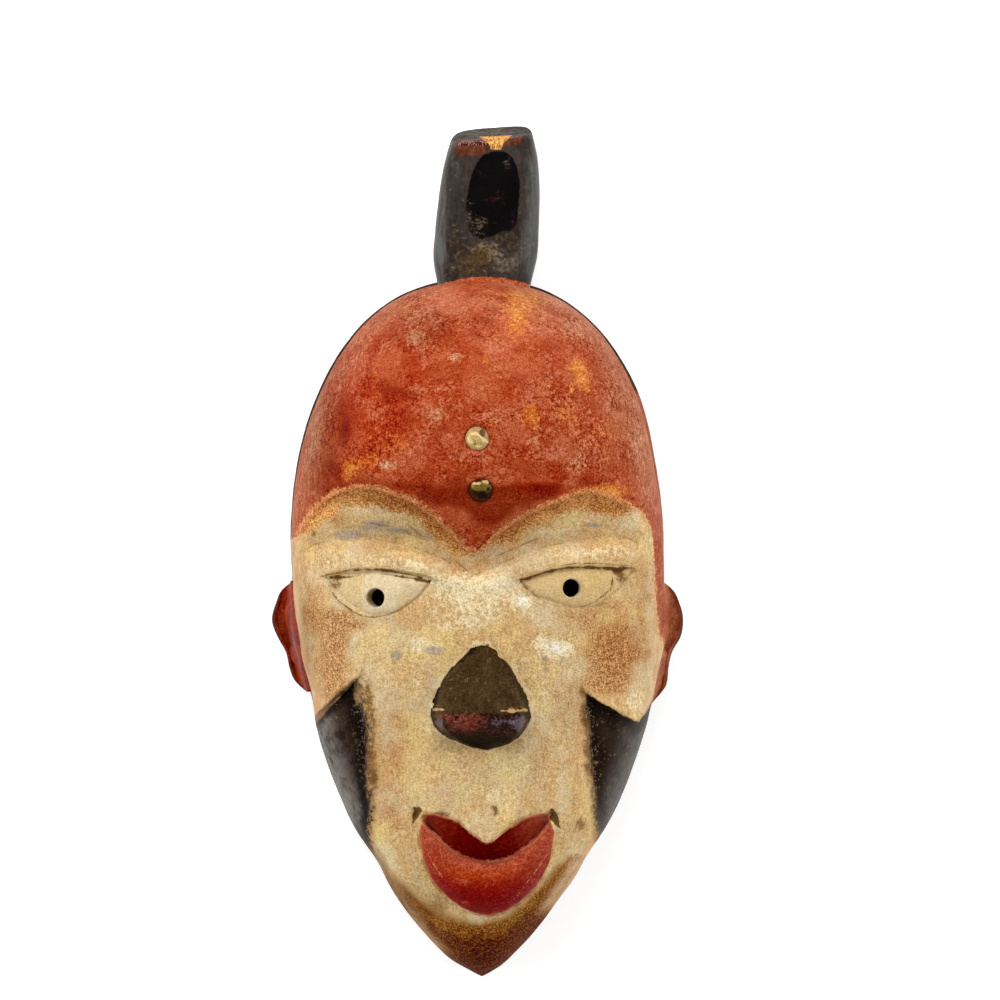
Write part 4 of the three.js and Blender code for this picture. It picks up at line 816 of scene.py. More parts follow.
# red paint of the dome
masks["orange"] = 0.34 * N5[0] + 0.1 * n2[2] + spots(X, Y, [
    (516, 324, 12, 16, 1.0), (508, 299, 30, 13, 0.5), (530, 300, 20, 16, 0.5), (486, 361, 4, 5, 0.9), (531, 416, 10, 13, 1.0), (579, 374, 9, 12, 0.82), (586, 384, 6, 12, 0.7), (571, 389, 3, 8, 0.9), (575, 365, 9, 6, 0.6),
    (352, 467, 12, 10, 0.85), (371, 461, 10, 7, 0.7), (347, 479, 8, 7, 0.6), (372, 436, 30, 20, 0.34), (600, 432, 36, 30, 0.4), (385, 330, 15, 18, 0.26),
    (600, 491, 32, 8, 0.85), (640, 512, 10, 12, 0.7), (620, 470, 16, 20, 0.42), (562, 412, 16, 18, 0.36), (400, 445, 16, 12, 0.42), (372, 376, 12, 14, 0.42), (586, 352, 12, 12, 0.36),
    (335, 500, 8, 10, 0.3), (603, 494, 26, 7, 0.6), (408, 303, 16, 8, 0.42), (396, 312, 10, 10, 0.4), (420, 370, 12, 8, 0.25), (450, 290, 30, 5, 0.4)])
masks["haze"] = 0.36 * N5[2] + 0.16 * N12[2] + spots(X, Y, [
    (416, 342, 13, 14, 0.9), (455, 357.5, 8, 4.5, 1.2), (388, 465, 13, 5, 1.2), (436, 414, 24, 11, 0.75), (503, 416, 26, 9, 0.6), (577, 466, 16, 10, 0.8),
    (552, 378, 12, 12, 0.6), (575, 330, 20, 14, 0.7), (360, 352, 10, 18, 0.5), (452, 462, 16, 9, 0.4), (534, 441, 13, 12, 0.5), (440, 388, 20, 7, 0.4),
    (370, 476, 6, 6, 0.8), (341, 380, 8, 20, 0.55), (612, 380, 20, 34, 0.5), (636, 440, 9, 40, 0.6), (316, 425, 9, 34, 0.7), (307, 470, 7, 26, 0.5), (404, 318, 16, 8, 0.4),
    (455, 320, 22, 12, 0.3), (500, 345, 14, 8, 0.3), (566, 300, 18, 9, 0.5), (430, 295, 14, 7, 0.4), (600, 345, 14, 18, 0.4), (648, 500, 6, 40, 0.5), (385, 432, 16, 8, 0.35)])
masks["deep"] = 0.34 * N5[3] + 0.2 * N12[3] + 0.1 * n2[0] + spots(X, Y, [
    (468, 494, 32, 13, 0.75), (520, 494, 34, 13, 0.8), (488, 508, 30, 14, 0.8), (489, 520, 18, 9, 0.5), (440, 500, 26, 10, 0.6), (548, 490, 26, 9, 0.55), (418, 490, 26, 8, 0.5),
    (345, 425, 8, 24, 0.5), (340, 398, 8, 14, 0.35), (352, 455, 20, 12, 0.15), (325, 470, 9, 26, 0.45), (400, 484, 34, 6, 0.45), (530, 470, 16, 8, 0.35), (455, 476, 14, 8, 0.3),
    (390, 392, 20, 14, 0.25), (365, 425, 22, 16, 0.22), (420, 336, 24, 9, 0.3), (430, 372, 18, 14, 0.25), (598, 455, 18, 14, 0.25), (475, 330, 12, 14, 0.2), (551, 308, 8, 7, 0.3),
    (340, 480, 14, 24, 0.3), (370, 490, 30, 8, 0.3), (404, 395, 30, 10, 0.25), (460, 445, 20, 16, 0.15), (588, 478, 26, 7, 0.25), (500, 455, 30, 14, 0.12)])
masks["sand"] = 0.5 + 0.75 * N12[1] + 0.5 * N5[4] - spots(X, Y, [
    (495, 375, 44, 26, 0.55), (470, 395, 40, 14, 0.35), (500, 505, 60, 20, 0.5), (445, 370, 22, 18, 0.25), (520, 360, 26, 14, 0.3), (455, 430, 24, 14, 0.25),
    (310, 480, 12, 50, 0.2), (652, 500, 12, 60, 0.4), (440, 305, 30, 10, 0.15), (520, 470, 30, 14, 0.2), (297, 640, 9, 60, 0.5), (656, 640, 9, 60, 0.5), (590, 365, 20, 16, 0.3)]) + spots(X, Y, [
    (365, 440, 36, 30, 0.3), (600, 440, 40, 30, 0.3), (400, 505, 60, 10, 0.4), (560, 505, 60, 10, 0.4), (620, 650, 34, 34, 0.35), (335, 660, 22, 44, 0.35), (478, 935, 50, 24, 0.6),
    (410, 905, 20, 20, 0.5), (540, 900, 20, 20, 0.5), (370, 545, 50, 14, 0.3), (360, 330, 24, 20, 0.3)])

# painted light and shade over the face: how much lighter or darker each part is made, partly painted shade where the
# dome's left and the cheeks' and chin's sides turn from the light and painted light on the ridges over the lids, partly
# the paint's own tone; and how much greyer
masks["shade"] = spots(X, Y, [
    (385, 530, 46, 13, -0.03), (480, 722, 30, 8, 0.0), (385, 559, 44, 9, 0.055), (577, 556, 44, 9, 0.05), (482, 568, 14, 10, 0.05), (495, 502, 34, 14, 0.035), (555, 482, 34, 14, -0.03), (480, 757, 44, 9, 0.045), (375, 425, 40, 40, -0.02), (407, 590, 20, 12, -0.03), (540, 470, 20, 12, -0.01),
    (328, 440, 26, 80, -0.09), (420, 325, 36, 26, -0.06), (385, 370, 30, 30, -0.03), (480, 505, 70, 16, 0.02), (590, 350, 40, 40, -0.02), (306, 650, 12, 50, -0.15), (643, 450, 10, 34, 0.05),
    (505, 297, 36, 12, -0.03), (385, 530, 46, 13, -0.05), (299, 600, 10, 70, -0.07), (648, 630, 9, 70, -0.05), (390, 750, 14, 60, -0.05), (620, 650, 26, 30, -0.04),
    (410, 893, 30, 22, -0.08), (436, 903, 13, 11, -0.14), (535, 880, 14, 24, 0.05), (553, 915, 20, 26, -0.06),
    (486, 962, 22, 14, -0.04), (480, 600, 44, 30, 0.03), (480, 780, 50, 30, 0.03), (580, 780, 10, 60, 0.03), (400, 590, 30, 14, 0.04), (430, 660, 24, 20, 0.03), (570, 500, 40, 8, 0.10), (380, 502, 40, 6, 0.06)])
masks["cool"] = spots(X, Y, [
    (600, 420, 60, 70, 0.03), (560, 310, 44, 30, 0.035), (654, 640, 8, 40, 0.02), (380, 858, 14, 18, 0.05), (322, 440, 20, 60, 0.04), (586, 503, 34, 9, -0.055), (505, 300, 40, 14, 0.03),
    (470, 308, 80, 30, 0.03), (418, 325, 34, 22, 0.045), (620, 650, 30, 34, -0.035), (390, 750, 14, 60, -0.02), (306, 650, 12, 50, -0.03), (375, 425, 40, 50, -0.025), (555, 482, 40, 16, -0.04), (436, 903, 14, 12, -0.02), (410, 898, 16, 14, -0.01), (485, 938, 30, 12, -0.02), (485, 960, 24, 14, -0.02), (482, 568, 12, 9, -0.02), (643, 450, 10, 34, 0.02)])

# cream paint of the face
masks["brown"] = 0.34 * N5[1] + 0.2 * N12[0] + 0.1 * n2[1] + spots(X, Y, [
    (333, 655, 18, 44, 0.95), (348, 700, 14, 22, 0.6), (612, 648, 34, 34, 1.0), (612, 682, 20, 14, 0.8), (600, 604, 34, 10, 0.4), (590, 690, 22, 14, 0.55),
    (642, 590, 10, 30, 0.6), (313, 600, 12, 26, 0.75), (340, 622, 20, 12, 0.7), (520, 622, 22, 12, 0.25), (420, 630, 18, 12, 0.3), (400, 700, 12, 30, 0.3),
    (405, 760, 12, 30, 0.4), (560, 760, 14, 30, 0.35), (396, 820, 10, 26, 0.5), (575, 800, 10, 30, 0.45), (480, 565, 12, 8, 0.45), (377, 745, 8, 40, 0.5),
    (582, 740, 8, 40, 0.45), (560, 700, 18, 22, 0.35), (440, 800, 14, 14, 0.3), (530, 800, 16, 10, 0.25), (402, 860, 10, 16, 0.35),
    (575, 620, 20, 9, 0.4), (352, 545, 44, 6, 0.35), (430, 540, 30, 8, 0.35), (635, 560, 16, 8, 0.35), (600, 535, 50, 8, 0.25), (550, 540, 40, 8, 0.35), (480, 548, 22, 10, 0.5), (385, 624, 40, 7, 0.35),
    (470, 765, 60, 8, 0.2), (395, 590, 16, 8, 0.12), (575, 588, 40, 14, 0.25), (335, 518, 34, 9, 0.5), (540, 745, 16, 10, 0.3), (610, 575, 20, 12, 0.3), (312, 540, 12, 20, 0.4),
    (395, 725, 12, 16, 0.25), (470, 640, 14, 6, 0.25), (330, 690, 10, 20, 0.4), (422, 745, 12, 12, 0.3)])
# fresh white patches of paint, with painted highlight along the ridges over the lids
masks["white_and_highlight"] = 0.36 * N5[4] + 0.16 * N12[2] + spots(X, Y, [
    (634, 702, 13, 15, 0.6), (650, 682, 5, 10, 0.7),
    (557, 648, 16, 9, 1.15), (523, 602, 9, 8, 1.2), (480, 600, 42, 20, 0.55), (455, 590, 22, 12, 0.45), (540, 640, 10, 8, 0.5), (378, 600, 26, 10, 0.3), (340, 588, 14, 6, 0.4),
    (470, 625, 30, 10, 0.45), (500, 585, 20, 9, 0.45), (425, 645, 20, 9, 0.5), (416, 680, 8, 20, 0.5), (440, 770, 24, 14, 0.25), (500, 795, 22, 10, 0.35), (520, 768, 30, 9, 0.35),
    (330, 563, 20, 7, 0.4), (370, 558, 22, 5, 0.25), (416, 566, 12, 8, 0.75), (392, 562, 18, 5, 0.2), (575, 553, 50, 5, 0.3), (653, 620, 5, 60, 0.35), (398, 790, 12, 20, 0.25), (545, 690, 7, 22, 0.45),
    (470, 578, 60, 9, 0.4), (615, 552, 24, 5, 0.2), (540, 568, 20, 4, 0.3), (450, 700, 30, 60, 0.1), (425, 720, 8, 20, 0.3), (560, 780, 16, 10, 0.3), (404, 880, 12, 8, 0.4), (550, 870, 10, 10, 0.35)]) - 0.1
masks["blue"] = 0.45 * N5[0] + 0.25 * n2[2] + spots(X, Y, [
    (395, 656, 5, 4.5, 1.6), (434, 650, 14, 6, 0.85), (563, 659, 4.5, 4, 1.4), (544, 658, 3, 2.5, 1.2), (547, 669, 4, 2.5, 1.2), (536, 636, 3, 3, 1.0), (494, 610, 2.5, 2.5, 0.7),
    (441, 617, 4, 4, 0.8), (397, 655, 6, 5, 0.6), (434, 650, 12, 6, 0.4), (547, 659, 5, 3, 0.5), (346, 535.5, 17, 4.5, 1.15), (374, 525.5, 20, 5, 1.1), (366, 532, 26, 5, 0.6), (406, 531, 16, 3.6, 1.2), (432, 537, 12, 3.6, 1.25), (594, 525.4, 10, 2.8, 1.6), (376, 521, 12, 4, 0.2), (452, 655, 7, 7, 0.5), (412, 668, 8, 7, 0.4),
    (484, 765, 5, 4, 0.55), (404, 780, 8, 6, 0.45), (350, 662, 6, 5, 0.3), (376, 521, 12, 4, 0.5)]) - 0.1
# dark brown in the corners, creases and recesses, by the eyes, the brow's notch, the philtrum, the mouth and the jaw
# panels' edges: partly grime, partly painted shade
masks["grime_and_shade"] = 0.25 * N5[3] + 0.12 * n2[0] + spots(X, Y, [
    (489, 536, 16, 7, 0.55), (480, 566, 11, 7, 0.25), (424, 590, 8, 6, 0.22), (337, 578, 8, 2.2, 0.7), (333, 586, 9, 7, 0.45), (616, 571, 5, 3, 0.9), (621, 577, 9, 8, 0.75), (430, 742, 8, 8, 0.4),
    (493, 808, 4, 3.4, 0.9), (496.5, 812, 2.6, 5, 1.0), (490, 815, 3.5, 2.5, 0.6), (600, 720, 14, 6, 0.3), (500, 760, 26, 7, 0.2), (371, 735, 7, 66, 0.75), (376, 780, 5, 14, 0.5), (588, 735, 6, 60, 0.6), (584, 712, 6, 12, 0.5), (478, 652, 12, 6, 0.7), (505, 660, 6, 8, 0.4), (455, 668, 6, 8, 0.4), (466, 657, 6, 6, 0.5),
    (314, 534, 3.5, 5, 0.9), (336, 585, 9, 6, 0.4), (442, 814, 14, 5, 0.6), (457, 824, 7, 4, 0.9), (512, 824, 9, 4, 0.6), (530, 815, 10, 3, 0.5), (580, 824, 6, 8, 0.75), (470, 836, 5, 3, 0.5), (366, 690, 4, 12, 0.4), (440, 815, 12, 3, 0.3)])

# crest: the grey down its side facets is a painted sheen, and the dark oval on its front a painted reflection
oval = patch(X, Y, [(489, 151), (504, 151), (512, 157), (517, 168), (520, 184), (519, 198), (517.5, 213), (516, 225), (510, 232), (500, 234), (492, 241), (482, 243.5), (473, 239), (466, 229), (464, 216),
                    (466, 203), (468.5, 188), (472, 173), (478, 161), (483, 154)])
masks["oval"] = np.where((PY > 95) & (PZ > 20), oval, -6) + 0.35 * N5[0] - 0.5 * spots(X, Y, [(474, 224, 16, 16, 2.0), (489, 238, 20, 8, 2.5)])
masks["scuff"] = 0.3 * N5[1] + 0.25 * n2[0] + spots(X, Y, [(484, 253, 14, 13, 1.1), (472, 262, 16, 12, 0.6), (505, 264, 14, 10, 0.6), (508, 236, 12, 10, 0.35), (456, 245, 8, 26, 0.5), (505, 245, 26, 10, 0.3), (480, 274, 26, 5, 0.4)])
masks["foot"] = 112.4 - 0.0095 * (PX - 3) ** 2 - PY + 0.3 * N5[0]
masks["wine"] = 0.4 * N5[3] + 0.3 * n2[2] + spots(X, Y, [(483, 173, 12, 6, 0.6), (498, 196, 14, 8, 0.6), (488, 205, 16, 8, 0.3), (512, 222, 6, 10, 0.5), (505, 165, 10, 10, 0.2)])
masks["fleck"] = 0.35 * n2[1] + spots(X, Y, [(477, 228, 9, 16, 0.6), (469, 222, 4, 18, 0.5), (507, 163, 3, 7, 0.6), (471, 204, 3.5, 5, 1.0), (467.5, 213, 3, 3, 1.4), (476, 221, 11, 5, 0.9), (486, 222, 4, 7, 0.7), (480, 232, 9, 6, 0.45), (508, 163, 6, 7, 0.65), (501, 178, 3, 2, 0.8), (482, 175, 6, 3, 0.5),
                                       (499, 195, 6, 4, 0.35), (511, 192, 4, 4, 0.4), (484, 194, 4, 3, 0.3), (504, 231, 6, 5, 0.6), (450, 190, 1.5, 4, 0.9), (455, 168, 3, 12, 0.5), (528, 160, 4, 10, 0.4)])
masks["crest_sheen"] = 0.25 * N5[2] + spots(X, Y, [(442, 200, 8, 60, 0.75), (440, 258, 6, 30, 0.75), (534, 195, 9, 60, 0.95), (526, 252, 9, 30, 0.6), (533, 270, 8, 10, 0.5), (490, 131, 26, 2.5, 0.8), (520, 160, 7, 8, 0.25), (458, 165, 6, 14, 0.3)])
masks["worn_top"] = np.maximum(patch(X, Y, [(454, 147), (470, 146), (489, 146), (490, 151), (484, 155), (470, 156), (457, 157)]), patch(X, Y, [(500, 144), (508, 139), (521, 137), (522, 143), (514, 146), (501, 148)]))
masks["red_top"] = np.maximum(patch(X, Y, [(459, 139), (470, 137), (486, 140), (489, 145.5), (470, 146.5), (455, 147)]), patch(X, Y, [(503, 142), (510, 136), (524, 135), (524, 138), (512, 140)]))
masks["top_cut"] = np.where(PY > 155, 137.5 + (X - 490) * -0.10 - Y, -20).clip(-20, 20) * UNIT

# ears: how far out towards the rim, 0 to 1
reach = np.where(PX < 0, station(EAR_LEFT, PY), station(EAR_RIGHT, PY))
root = w + np.sign(PX) * drift(PY)
masks["ear_side"] = (PX < 0) * 1.0
masks["ear_out"] = np.clip((np.abs(PX) - root) / np.maximum(1.0, reach - root), -1, 2)

# sight holes: how deep below the eye; the right hole's wall counts as deeper, so it turns dark sooner as painted shade
sunk = np.full(PX.shape, 0.0)
for u, v, _ in PUPILS:
    sel = (np.hypot(PX - u, PY - v) < 9)
    sunk[sel] = float(surface_at(u, v)[0][2]) - PZ[sel]
    sunk[sel & (PX > 0) & (sunk > 1.2)] += 5.2
masks["sunk"] = sunk.clip(-2, 30)

# fine lines: lids, the cut under each eye, and the knife's and scratches' marks; the lid lines and the folds are partly
# painted shadow under the lids' step, in their folds and in the mouth's corner nicks
masks["lid"], masks["lid_w"] = pen(X, Y, [
    ([(319, 577), (327, 575), (340, 572), (350, 570), (365, 569.5), (377, 569.5), (390, 570.7), (398, 572), (406, 573.8), (414, 575.6), (424, 578)], [0.1, 0.16, 0.2, 0.25, 0.28, 0.3, 0.28, 0.24, 0.2, 0.15, 0.1]),
    ([(519.4, 579.4), (524, 579.2), (532, 576.6), (543, 572.8), (555, 569.9), (567, 567.7), (580, 567.3), (591, 567.4), (601, 567.5), (608, 568.2), (616, 569.6), (625, 568.4), (632.5, 568)],
     [0.3, 0.45, 0.42, 0.34, 0.3, 0.3, 0.34, 0.42, 0.46, 0.56, 0.8, 0.4, 0.2])])
masks["fold"], masks["fold_w"] = pen(X, Y, [
    ([(329, 577), (333, 577.2), (340, 577.2), (346, 577.2), (352, 576.6), (362, 575)], [0.5, 0.75, 0.62, 0.5, 0.12, 0.05]),
    ([(380, 573.8), (392, 575), (401, 576.7), (408, 577.5), (419, 579.2), (431, 581.8)], [0.08, 0.14, 0.4, 0.5, 0.5, 0.55]),
    ([(560, 565.6), (572, 563.8), (588, 563.2), (604, 563.6), (618, 565), (630, 566)], [0.08, 0.16, 0.18, 0.18, 0.14, 0.1]),
    ([(345, 569), (365, 567.8), (385, 569)], [0.04, 0.1, 0.04]),
    ([(413, 807), (418, 812), (415, 818), (411, 827)], [0.5, 1.25, 0.8, 0.1]), ([(551, 808), (553, 816), (556, 822), (561, 829)], [0.5, 1.3, 0.8, 0.1]),
    ([(613, 575), (611.5, 583), (610, 592)], [0.1, 0.3, 0.1])])
masks["under"], masks["under_w"] = pen(X, Y, [
    ([(331, 590), (334, 595), (337.4, 599.8), (344, 605), (352, 611), (360.6, 615.5), (369, 616.9), (380, 616.4), (387, 615), (394, 612.2), (403, 608), (410.5, 603), (418, 597.2), (423, 590.6), (430.5, 583)],
     [0.12, 0.2, 0.22, 0.28, 0.36, 0.26, 0.22, 0.2, 0.22, 0.14, 0.1, 0.12, 0.18, 0.26, 0.2]),
    ([(520.3, 580.4), (524, 585.5), (529, 591), (536.6, 596.7), (546, 602.4), (556, 606), (570, 607.6), (584.4, 606.2), (594, 602.4), (600.7, 597.6), (609.3, 590), (613, 583.3), (612.2, 576.6)],
     [0.4, 0.3, 0.2, 0.2, 0.16, 0.06, 0.04, 0.16, 0.2, 0.34, 0.24, 0.28, 0.22])])
masks["cut_a"], masks["cut_a_w"] = pen(X, Y, [
    ([(586, 607), (598, 605.5), (611, 602)], [0.1, 0.2, 0.12]), ([(402, 583), (411, 589), (419, 596)], [0.05, 0.16, 0.08]), ([(398, 597), (406, 590), (413, 583)], [0.05, 0.12, 0.05]),
    ([(409, 597), (416, 590), (424, 583)], [0.05, 0.12, 0.05]), ([(334, 600), (344, 608), (355, 615.5), (362, 618.5)], [0.05, 0.14, 0.16, 0.05]), ([(526, 596), (537, 603), (547, 608)], [0.06, 0.14, 0.06]),
    ([(496, 556.5), (508, 551), (520, 546), (533, 540), (545, 536.5)], [0.2, 0.3, 0.3, 0.28, 0.1]), ([(560, 532.5), (570, 531), (580, 531), (590, 531.6)], [0.05, 0.16, 0.18, 0.08]), ([(612, 533), (626, 537), (640, 545)], [0.05, 0.16, 0.1]),
    ([(440, 556), (447, 561), (452, 564)], [0.1, 0.25, 0.08]), ([(380, 551), (395, 549), (410, 550), (424, 554)], [0.04, 0.14, 0.16, 0.06]), ([(446, 554), (454, 559), (462, 566), (470, 574)], [0.08, 0.16, 0.2, 0.1]),
    ([(400, 528), (410, 534), (422, 540)], [0.08, 0.4, 0.12]), ([(406, 524), (418, 532), (427, 541)], [0.1, 0.42, 0.12]), ([(420, 527), (434, 535), (440, 539), (441, 544)], [0.08, 0.34, 0.3, 0.1]), ([(352, 524), (366, 522), (380, 525), (396, 527)], [0.05, 0.25, 0.3, 0.1]), ([(344, 530), (354, 526), (362, 527)], [0.05, 0.2, 0.05]), ([(452, 540), (458, 543), (466, 548)], [0.2, 0.45, 0.1]),
    ([(506, 829), (518, 822), (534, 819)], [0.05, 0.18, 0.05]), ([(572, 834), (577, 825), (584, 812)], [0.15, 0.3, 0.1])])
# pale lines along carved edges: partly worn paint, partly painted highlight on the edges
masks["pale"], masks["pale_w"] = pen(X, Y, [
    ([(355, 680), (346, 690), (333, 703.5), (317, 710.5)], [0.35, 0.3, 0.3, 0.2]), ([(587, 690), (598, 695), (611, 706), (625, 716), (636, 720.5)], [0.45, 0.3, 0.25, 0.35, 0.3]), ([(637, 720), (645, 713), (651.5, 700)], [0.3, 0.4, 0.3]),
    ([(432, 709.6), (440, 709.2), (445, 709.6)], [0.4, 0.5, 0.15]), ([(500, 710.4), (512, 711), (528, 710)], [0.35, 0.7, 0.6]), ([(505, 905), (515, 898), (527, 882), (540, 865), (550, 850)], [0.05, 0.12, 0.1, 0.15, 0.05]),
    ([(424, 841), (431, 860), (444, 880)], [0.05, 0.22, 0.05]), ([(470, 646), (460, 657), (450, 668), (442, 680)], [0.1, 0.25, 0.2, 0.1]), ([(495, 649), (509, 664), (520, 681), (531, 703)], [0.1, 0.22, 0.2, 0.15]), ([(540, 815), (545, 821), (548, 830)], [0.05, 0.2, 0.05]), ([(544, 813), (549, 820)], [0.05, 0.15])])
for name in ("lid_w", "fold_w", "under_w", "cut_a_w", "pale_w"):
    masks[name] = np.where(masks[name] > -0.5, masks[name] * (1 + 1.2 * n2[0]), -1)

# red paint has run over the shoulder of the back band on the right
masks["run"] = (PX > 0) * smooth(378, 402, Y) * smooth(640, 600, Y) * 1.4 + 0.3 * n2[0] + 0.2 * N5[0]

# three masks ride in each attribute
PACKED = {}
names = list(masks)
for k in range(0, len(names), 3):
    trio = names[k:k + 3]
    at = made.attributes.new("paint_%d" % (k // 3), "FLOAT_VECTOR", "POINT")
    data = np.zeros((len(PX), 3), np.float32)
    for c, name in enumerate(trio):
        data[:, c] = masks[name]
        PACKED[name] = ("paint_%d" % (k // 3), c)
    at.data.foreach_set("vector", data.ravel())


# ---------------------------------------------------------------- paint recipes
def srgb(r, g, b, a=1.0):
    return (r / 255, g / 255, b / 255, a)


class Recipe:
    """Builds one material's nodes. Sizes are in millimetres."""

    def __init__(self, mat):
        mat.use_nodes = True
        self.tree = mat.node_tree
        self.shader = self.tree.nodes["Principled BSDF"]
        tc = self.node("ShaderNodeTexCoord")
        self.place = self.vector("SCALE", tc.outputs["Object"], 1000.0)
        self.memo = {}

    def node(self, kind, **settings):
        n = self.tree.nodes.new(kind)
        for k, v in settings.items():
            setattr(n, k, v)
        return n

    def put(self, socket, value):
        if isinstance(value, bpy.types.NodeSocket):
            self.tree.links.new(value, socket)
        elif isinstance(value, tuple):
            socket.default_value = value[:len(socket.default_value)]
        else:
            socket.default_value = value

    def vector(self, op, a, b, c=None):
        n = self.node("ShaderNodeVectorMath", operation=op)
        self.put(n.inputs[0], a)
        self.put(n.inputs["Scale"] if op == "SCALE" else n.inputs[1], b)
        if c is not None:
            self.put(n.inputs[2], c)
        return n.outputs[0]

    def math(self, op, a, b=0.0, c=0.0, clamp=False):
        n = self.node("ShaderNodeMath", operation=op, use_clamp=clamp)
        self.put(n.inputs[0], a)
        self.put(n.inputs[1], b)
        if len(n.inputs) > 2:
            self.put(n.inputs[2], c)
        return n.outputs[0]

    def add(self, *v):
        out = v[0]
        for x in v[1:]:
            out = self.math("ADD", out, x)
        return out

    def mul(self, *v):
        out = v[0]
        for x in v[1:]:
            out = self.math("MULTIPLY", out, x)
        return out

    def shift(self, x, scale, offset=0.0):
        return self.math("MULTIPLY_ADD", x, scale, offset)

    def attr(self, name):
        if name not in self.memo:
            pack, c = PACKED[name]
            if pack not in self.memo:
                parts = self.node("ShaderNodeSeparateXYZ")
                self.put(parts.inputs[0], self.node("ShaderNodeAttribute", attribute_name=pack).outputs["Vector"])
                self.memo[pack] = parts
            self.memo[name] = self.memo[pack].outputs[c]
        return self.memo[name]

    def noise(self, size, detail=2.0, rough=0.5, seed=0.0, stretch=None, bend=0.0):
        key = (size, detail, rough, seed, stretch, bend)
        if key not in self.memo:
            p = self.place
            if stretch:
                p = self.vector("MULTIPLY", p, stretch)
            if seed:
                p = self.vector("ADD", p, (seed * 37.1, seed * 17.3, seed * 71.9))
            n = self.node("ShaderNodeTexNoise")
            n.inputs["Scale"].default_value = 1.0 / size
            n.inputs["Detail"].default_value = detail
            n.inputs["Roughness"].default_value = rough
            n.inputs["Distortion"].default_value = bend
            self.put(n.inputs["Vector"], p)
            self.memo[key] = n.outputs["Fac"] if "Fac" in n.outputs else n.outputs[0]
        return self.memo[key]

    def ramp(self, x, lo, hi, a=0.0, b=1.0):
        n = self.node("ShaderNodeMapRange", interpolation_type="SMOOTHSTEP", clamp=True)
        self.put(n.inputs["Value"], x)
        self.put(n.inputs["From Min"], lo)
        self.put(n.inputs["From Max"], hi)
        self.put(n.inputs["To Min"], a)
        self.put(n.inputs["To Max"], b)
        return n.outputs[0]

    def mix(self, t, a, b):
        n = self.node("ShaderNodeMix", data_type="RGBA")
        self.put(n.inputs[0], t)
        self.put(n.inputs[6], a)
        self.put(n.inputs[7], b)
        return n.outputs[2]

    def blend(self, t, a, b):
        n = self.node("ShaderNodeMix", data_type="FLOAT")
        self.put(n.inputs[0], t)
        self.put(n.inputs[2], a)
        self.put(n.inputs[3], b)
        return n.outputs[0]

    def shape(self, loop):
        """Paint units inside a small outline without hollows, worked out from the place itself."""
        if "drawing" not in self.memo:
            parts, k = self.node("ShaderNodeSeparateXYZ"), 1 / (1 - 5 * DRAW_IN)
            self.put(parts.inputs[0], self.place)
            self.memo["drawing"] = (self.shift(parts.outputs[0], k / UNIT, 477 + (9.5 - (HOME[0] + 9.5) * k) / UNIT),
                                    self.shift(parts.outputs[1], -k / UNIT, 548 - (19.9 - (HOME[1] + 19.9) * k) / UNIT))
        x, y = self.memo["drawing"]
        p = np.array(loop, float)
        mid, out = p.mean(axis=0), None
        for a, b in zip(p, np.roll(p, -1, axis=0)):
            n = np.array([a[1] - b[1], b[0] - a[0]]) / np.linalg.norm(b - a)
            n = n if (mid - a) @ n > 0 else -n
            d = self.math("MULTIPLY_ADD", x, float(n[0]), self.shift(y, float(n[1]), -float(a @ n)))
            out = d if out is None else self.math("MINIMUM", out, d)
        return out

    def line(self, x, half, soft):
        """1 where x is near zero, within half."""
        return self.ramp(self.math("ABSOLUTE", x), half + soft, half)

    def drawn(self, name, wob, thick=1.0, soft=0.35):
        """1 on a pen line."""
        d = self.math("ABSOLUTE", self.add(self.attr(name), self.mul(wob, 0.3)))
        g, up, down, n1, n2 = self.crumbs()
        on = self.ramp(self.add(self.mul(self.attr(name + "_w"), thick), self.mul(d, -1.0), self.mul(n1, 0.3)), -soft * 0.6, soft * 0.7)
        return self.mul(on, self.ramp(self.add(self.mul(n2, 1.2), self.mul(self.attr(name + "_w"), 2.2)), -0.5, 1.0, 0.3, 1.0))

    def lift(self, colour, amount, tint=(1.0, 0.95, 0.86)):
        """Lighter or darker by one amount in all three, as grain is."""
        n = self.node("ShaderNodeCombineXYZ")
        for k in range(3):
            self.put(n.inputs[k], amount)
        return self.vector("MULTIPLY_ADD", n.outputs[0], tint, colour)

    def crumbs(self):
        """Grain of old thick paint: its height, its light crumbs, its dark crumbs, and the two noises it is made of."""
        if "crumbs" not in self.memo:
            f1, f2 = self.noise(0.62, 0.0, 0.5, 1), self.noise(1.7, 2.0, 0.62, 2)
            g = self.add(self.mul(f1, 0.62), self.mul(f2, 0.38))
            self.memo["crumbs"] = (g, self.ramp(g, 0.51, 0.62), self.ramp(g, 0.49, 0.38), self.shift(f1, 2.0, -1.0), self.shift(f2, 2.0, -1.0))
        return self.memo["crumbs"]

    def finish(self, colour, roughness, height=None, specular=0.4, strength=1.0):
        s = self.shader
        light = self.node("ShaderNodeGamma")
        self.put(light.inputs["Color"], self.vector("MAXIMUM", colour, (0.012, 0.012, 0.012)))
        light.inputs["Gamma"].default_value = 2.2
        self.put(s.inputs["Base Color"], light.outputs[0])
        self.put(s.inputs["Roughness"], roughness)
        s.inputs["Specular IOR Level"].default_value = specular
        if height is not None:
            b = self.node("ShaderNodeBump")
            b.inputs["Strength"].default_value = strength
            b.inputs["Distance"].default_value = 0.001
            self.put(b.inputs["Height"], height)
            self.put(s.inputs["Normal"], b.outputs["Normal"])


def grain(r, fine, coarse, light=0.0, dark=0.0):
    """How much a spot is lifted by the grain there."""
    g, up, down, n1, n2 = r.crumbs()
    return r.add(r.mul(n1, fine), r.mul(n2, coarse), r.mul(up, light), r.mul(down, -dark if not isinstance(dark, bpy.types.NodeSocket) else r.mul(dark, -1.0)))


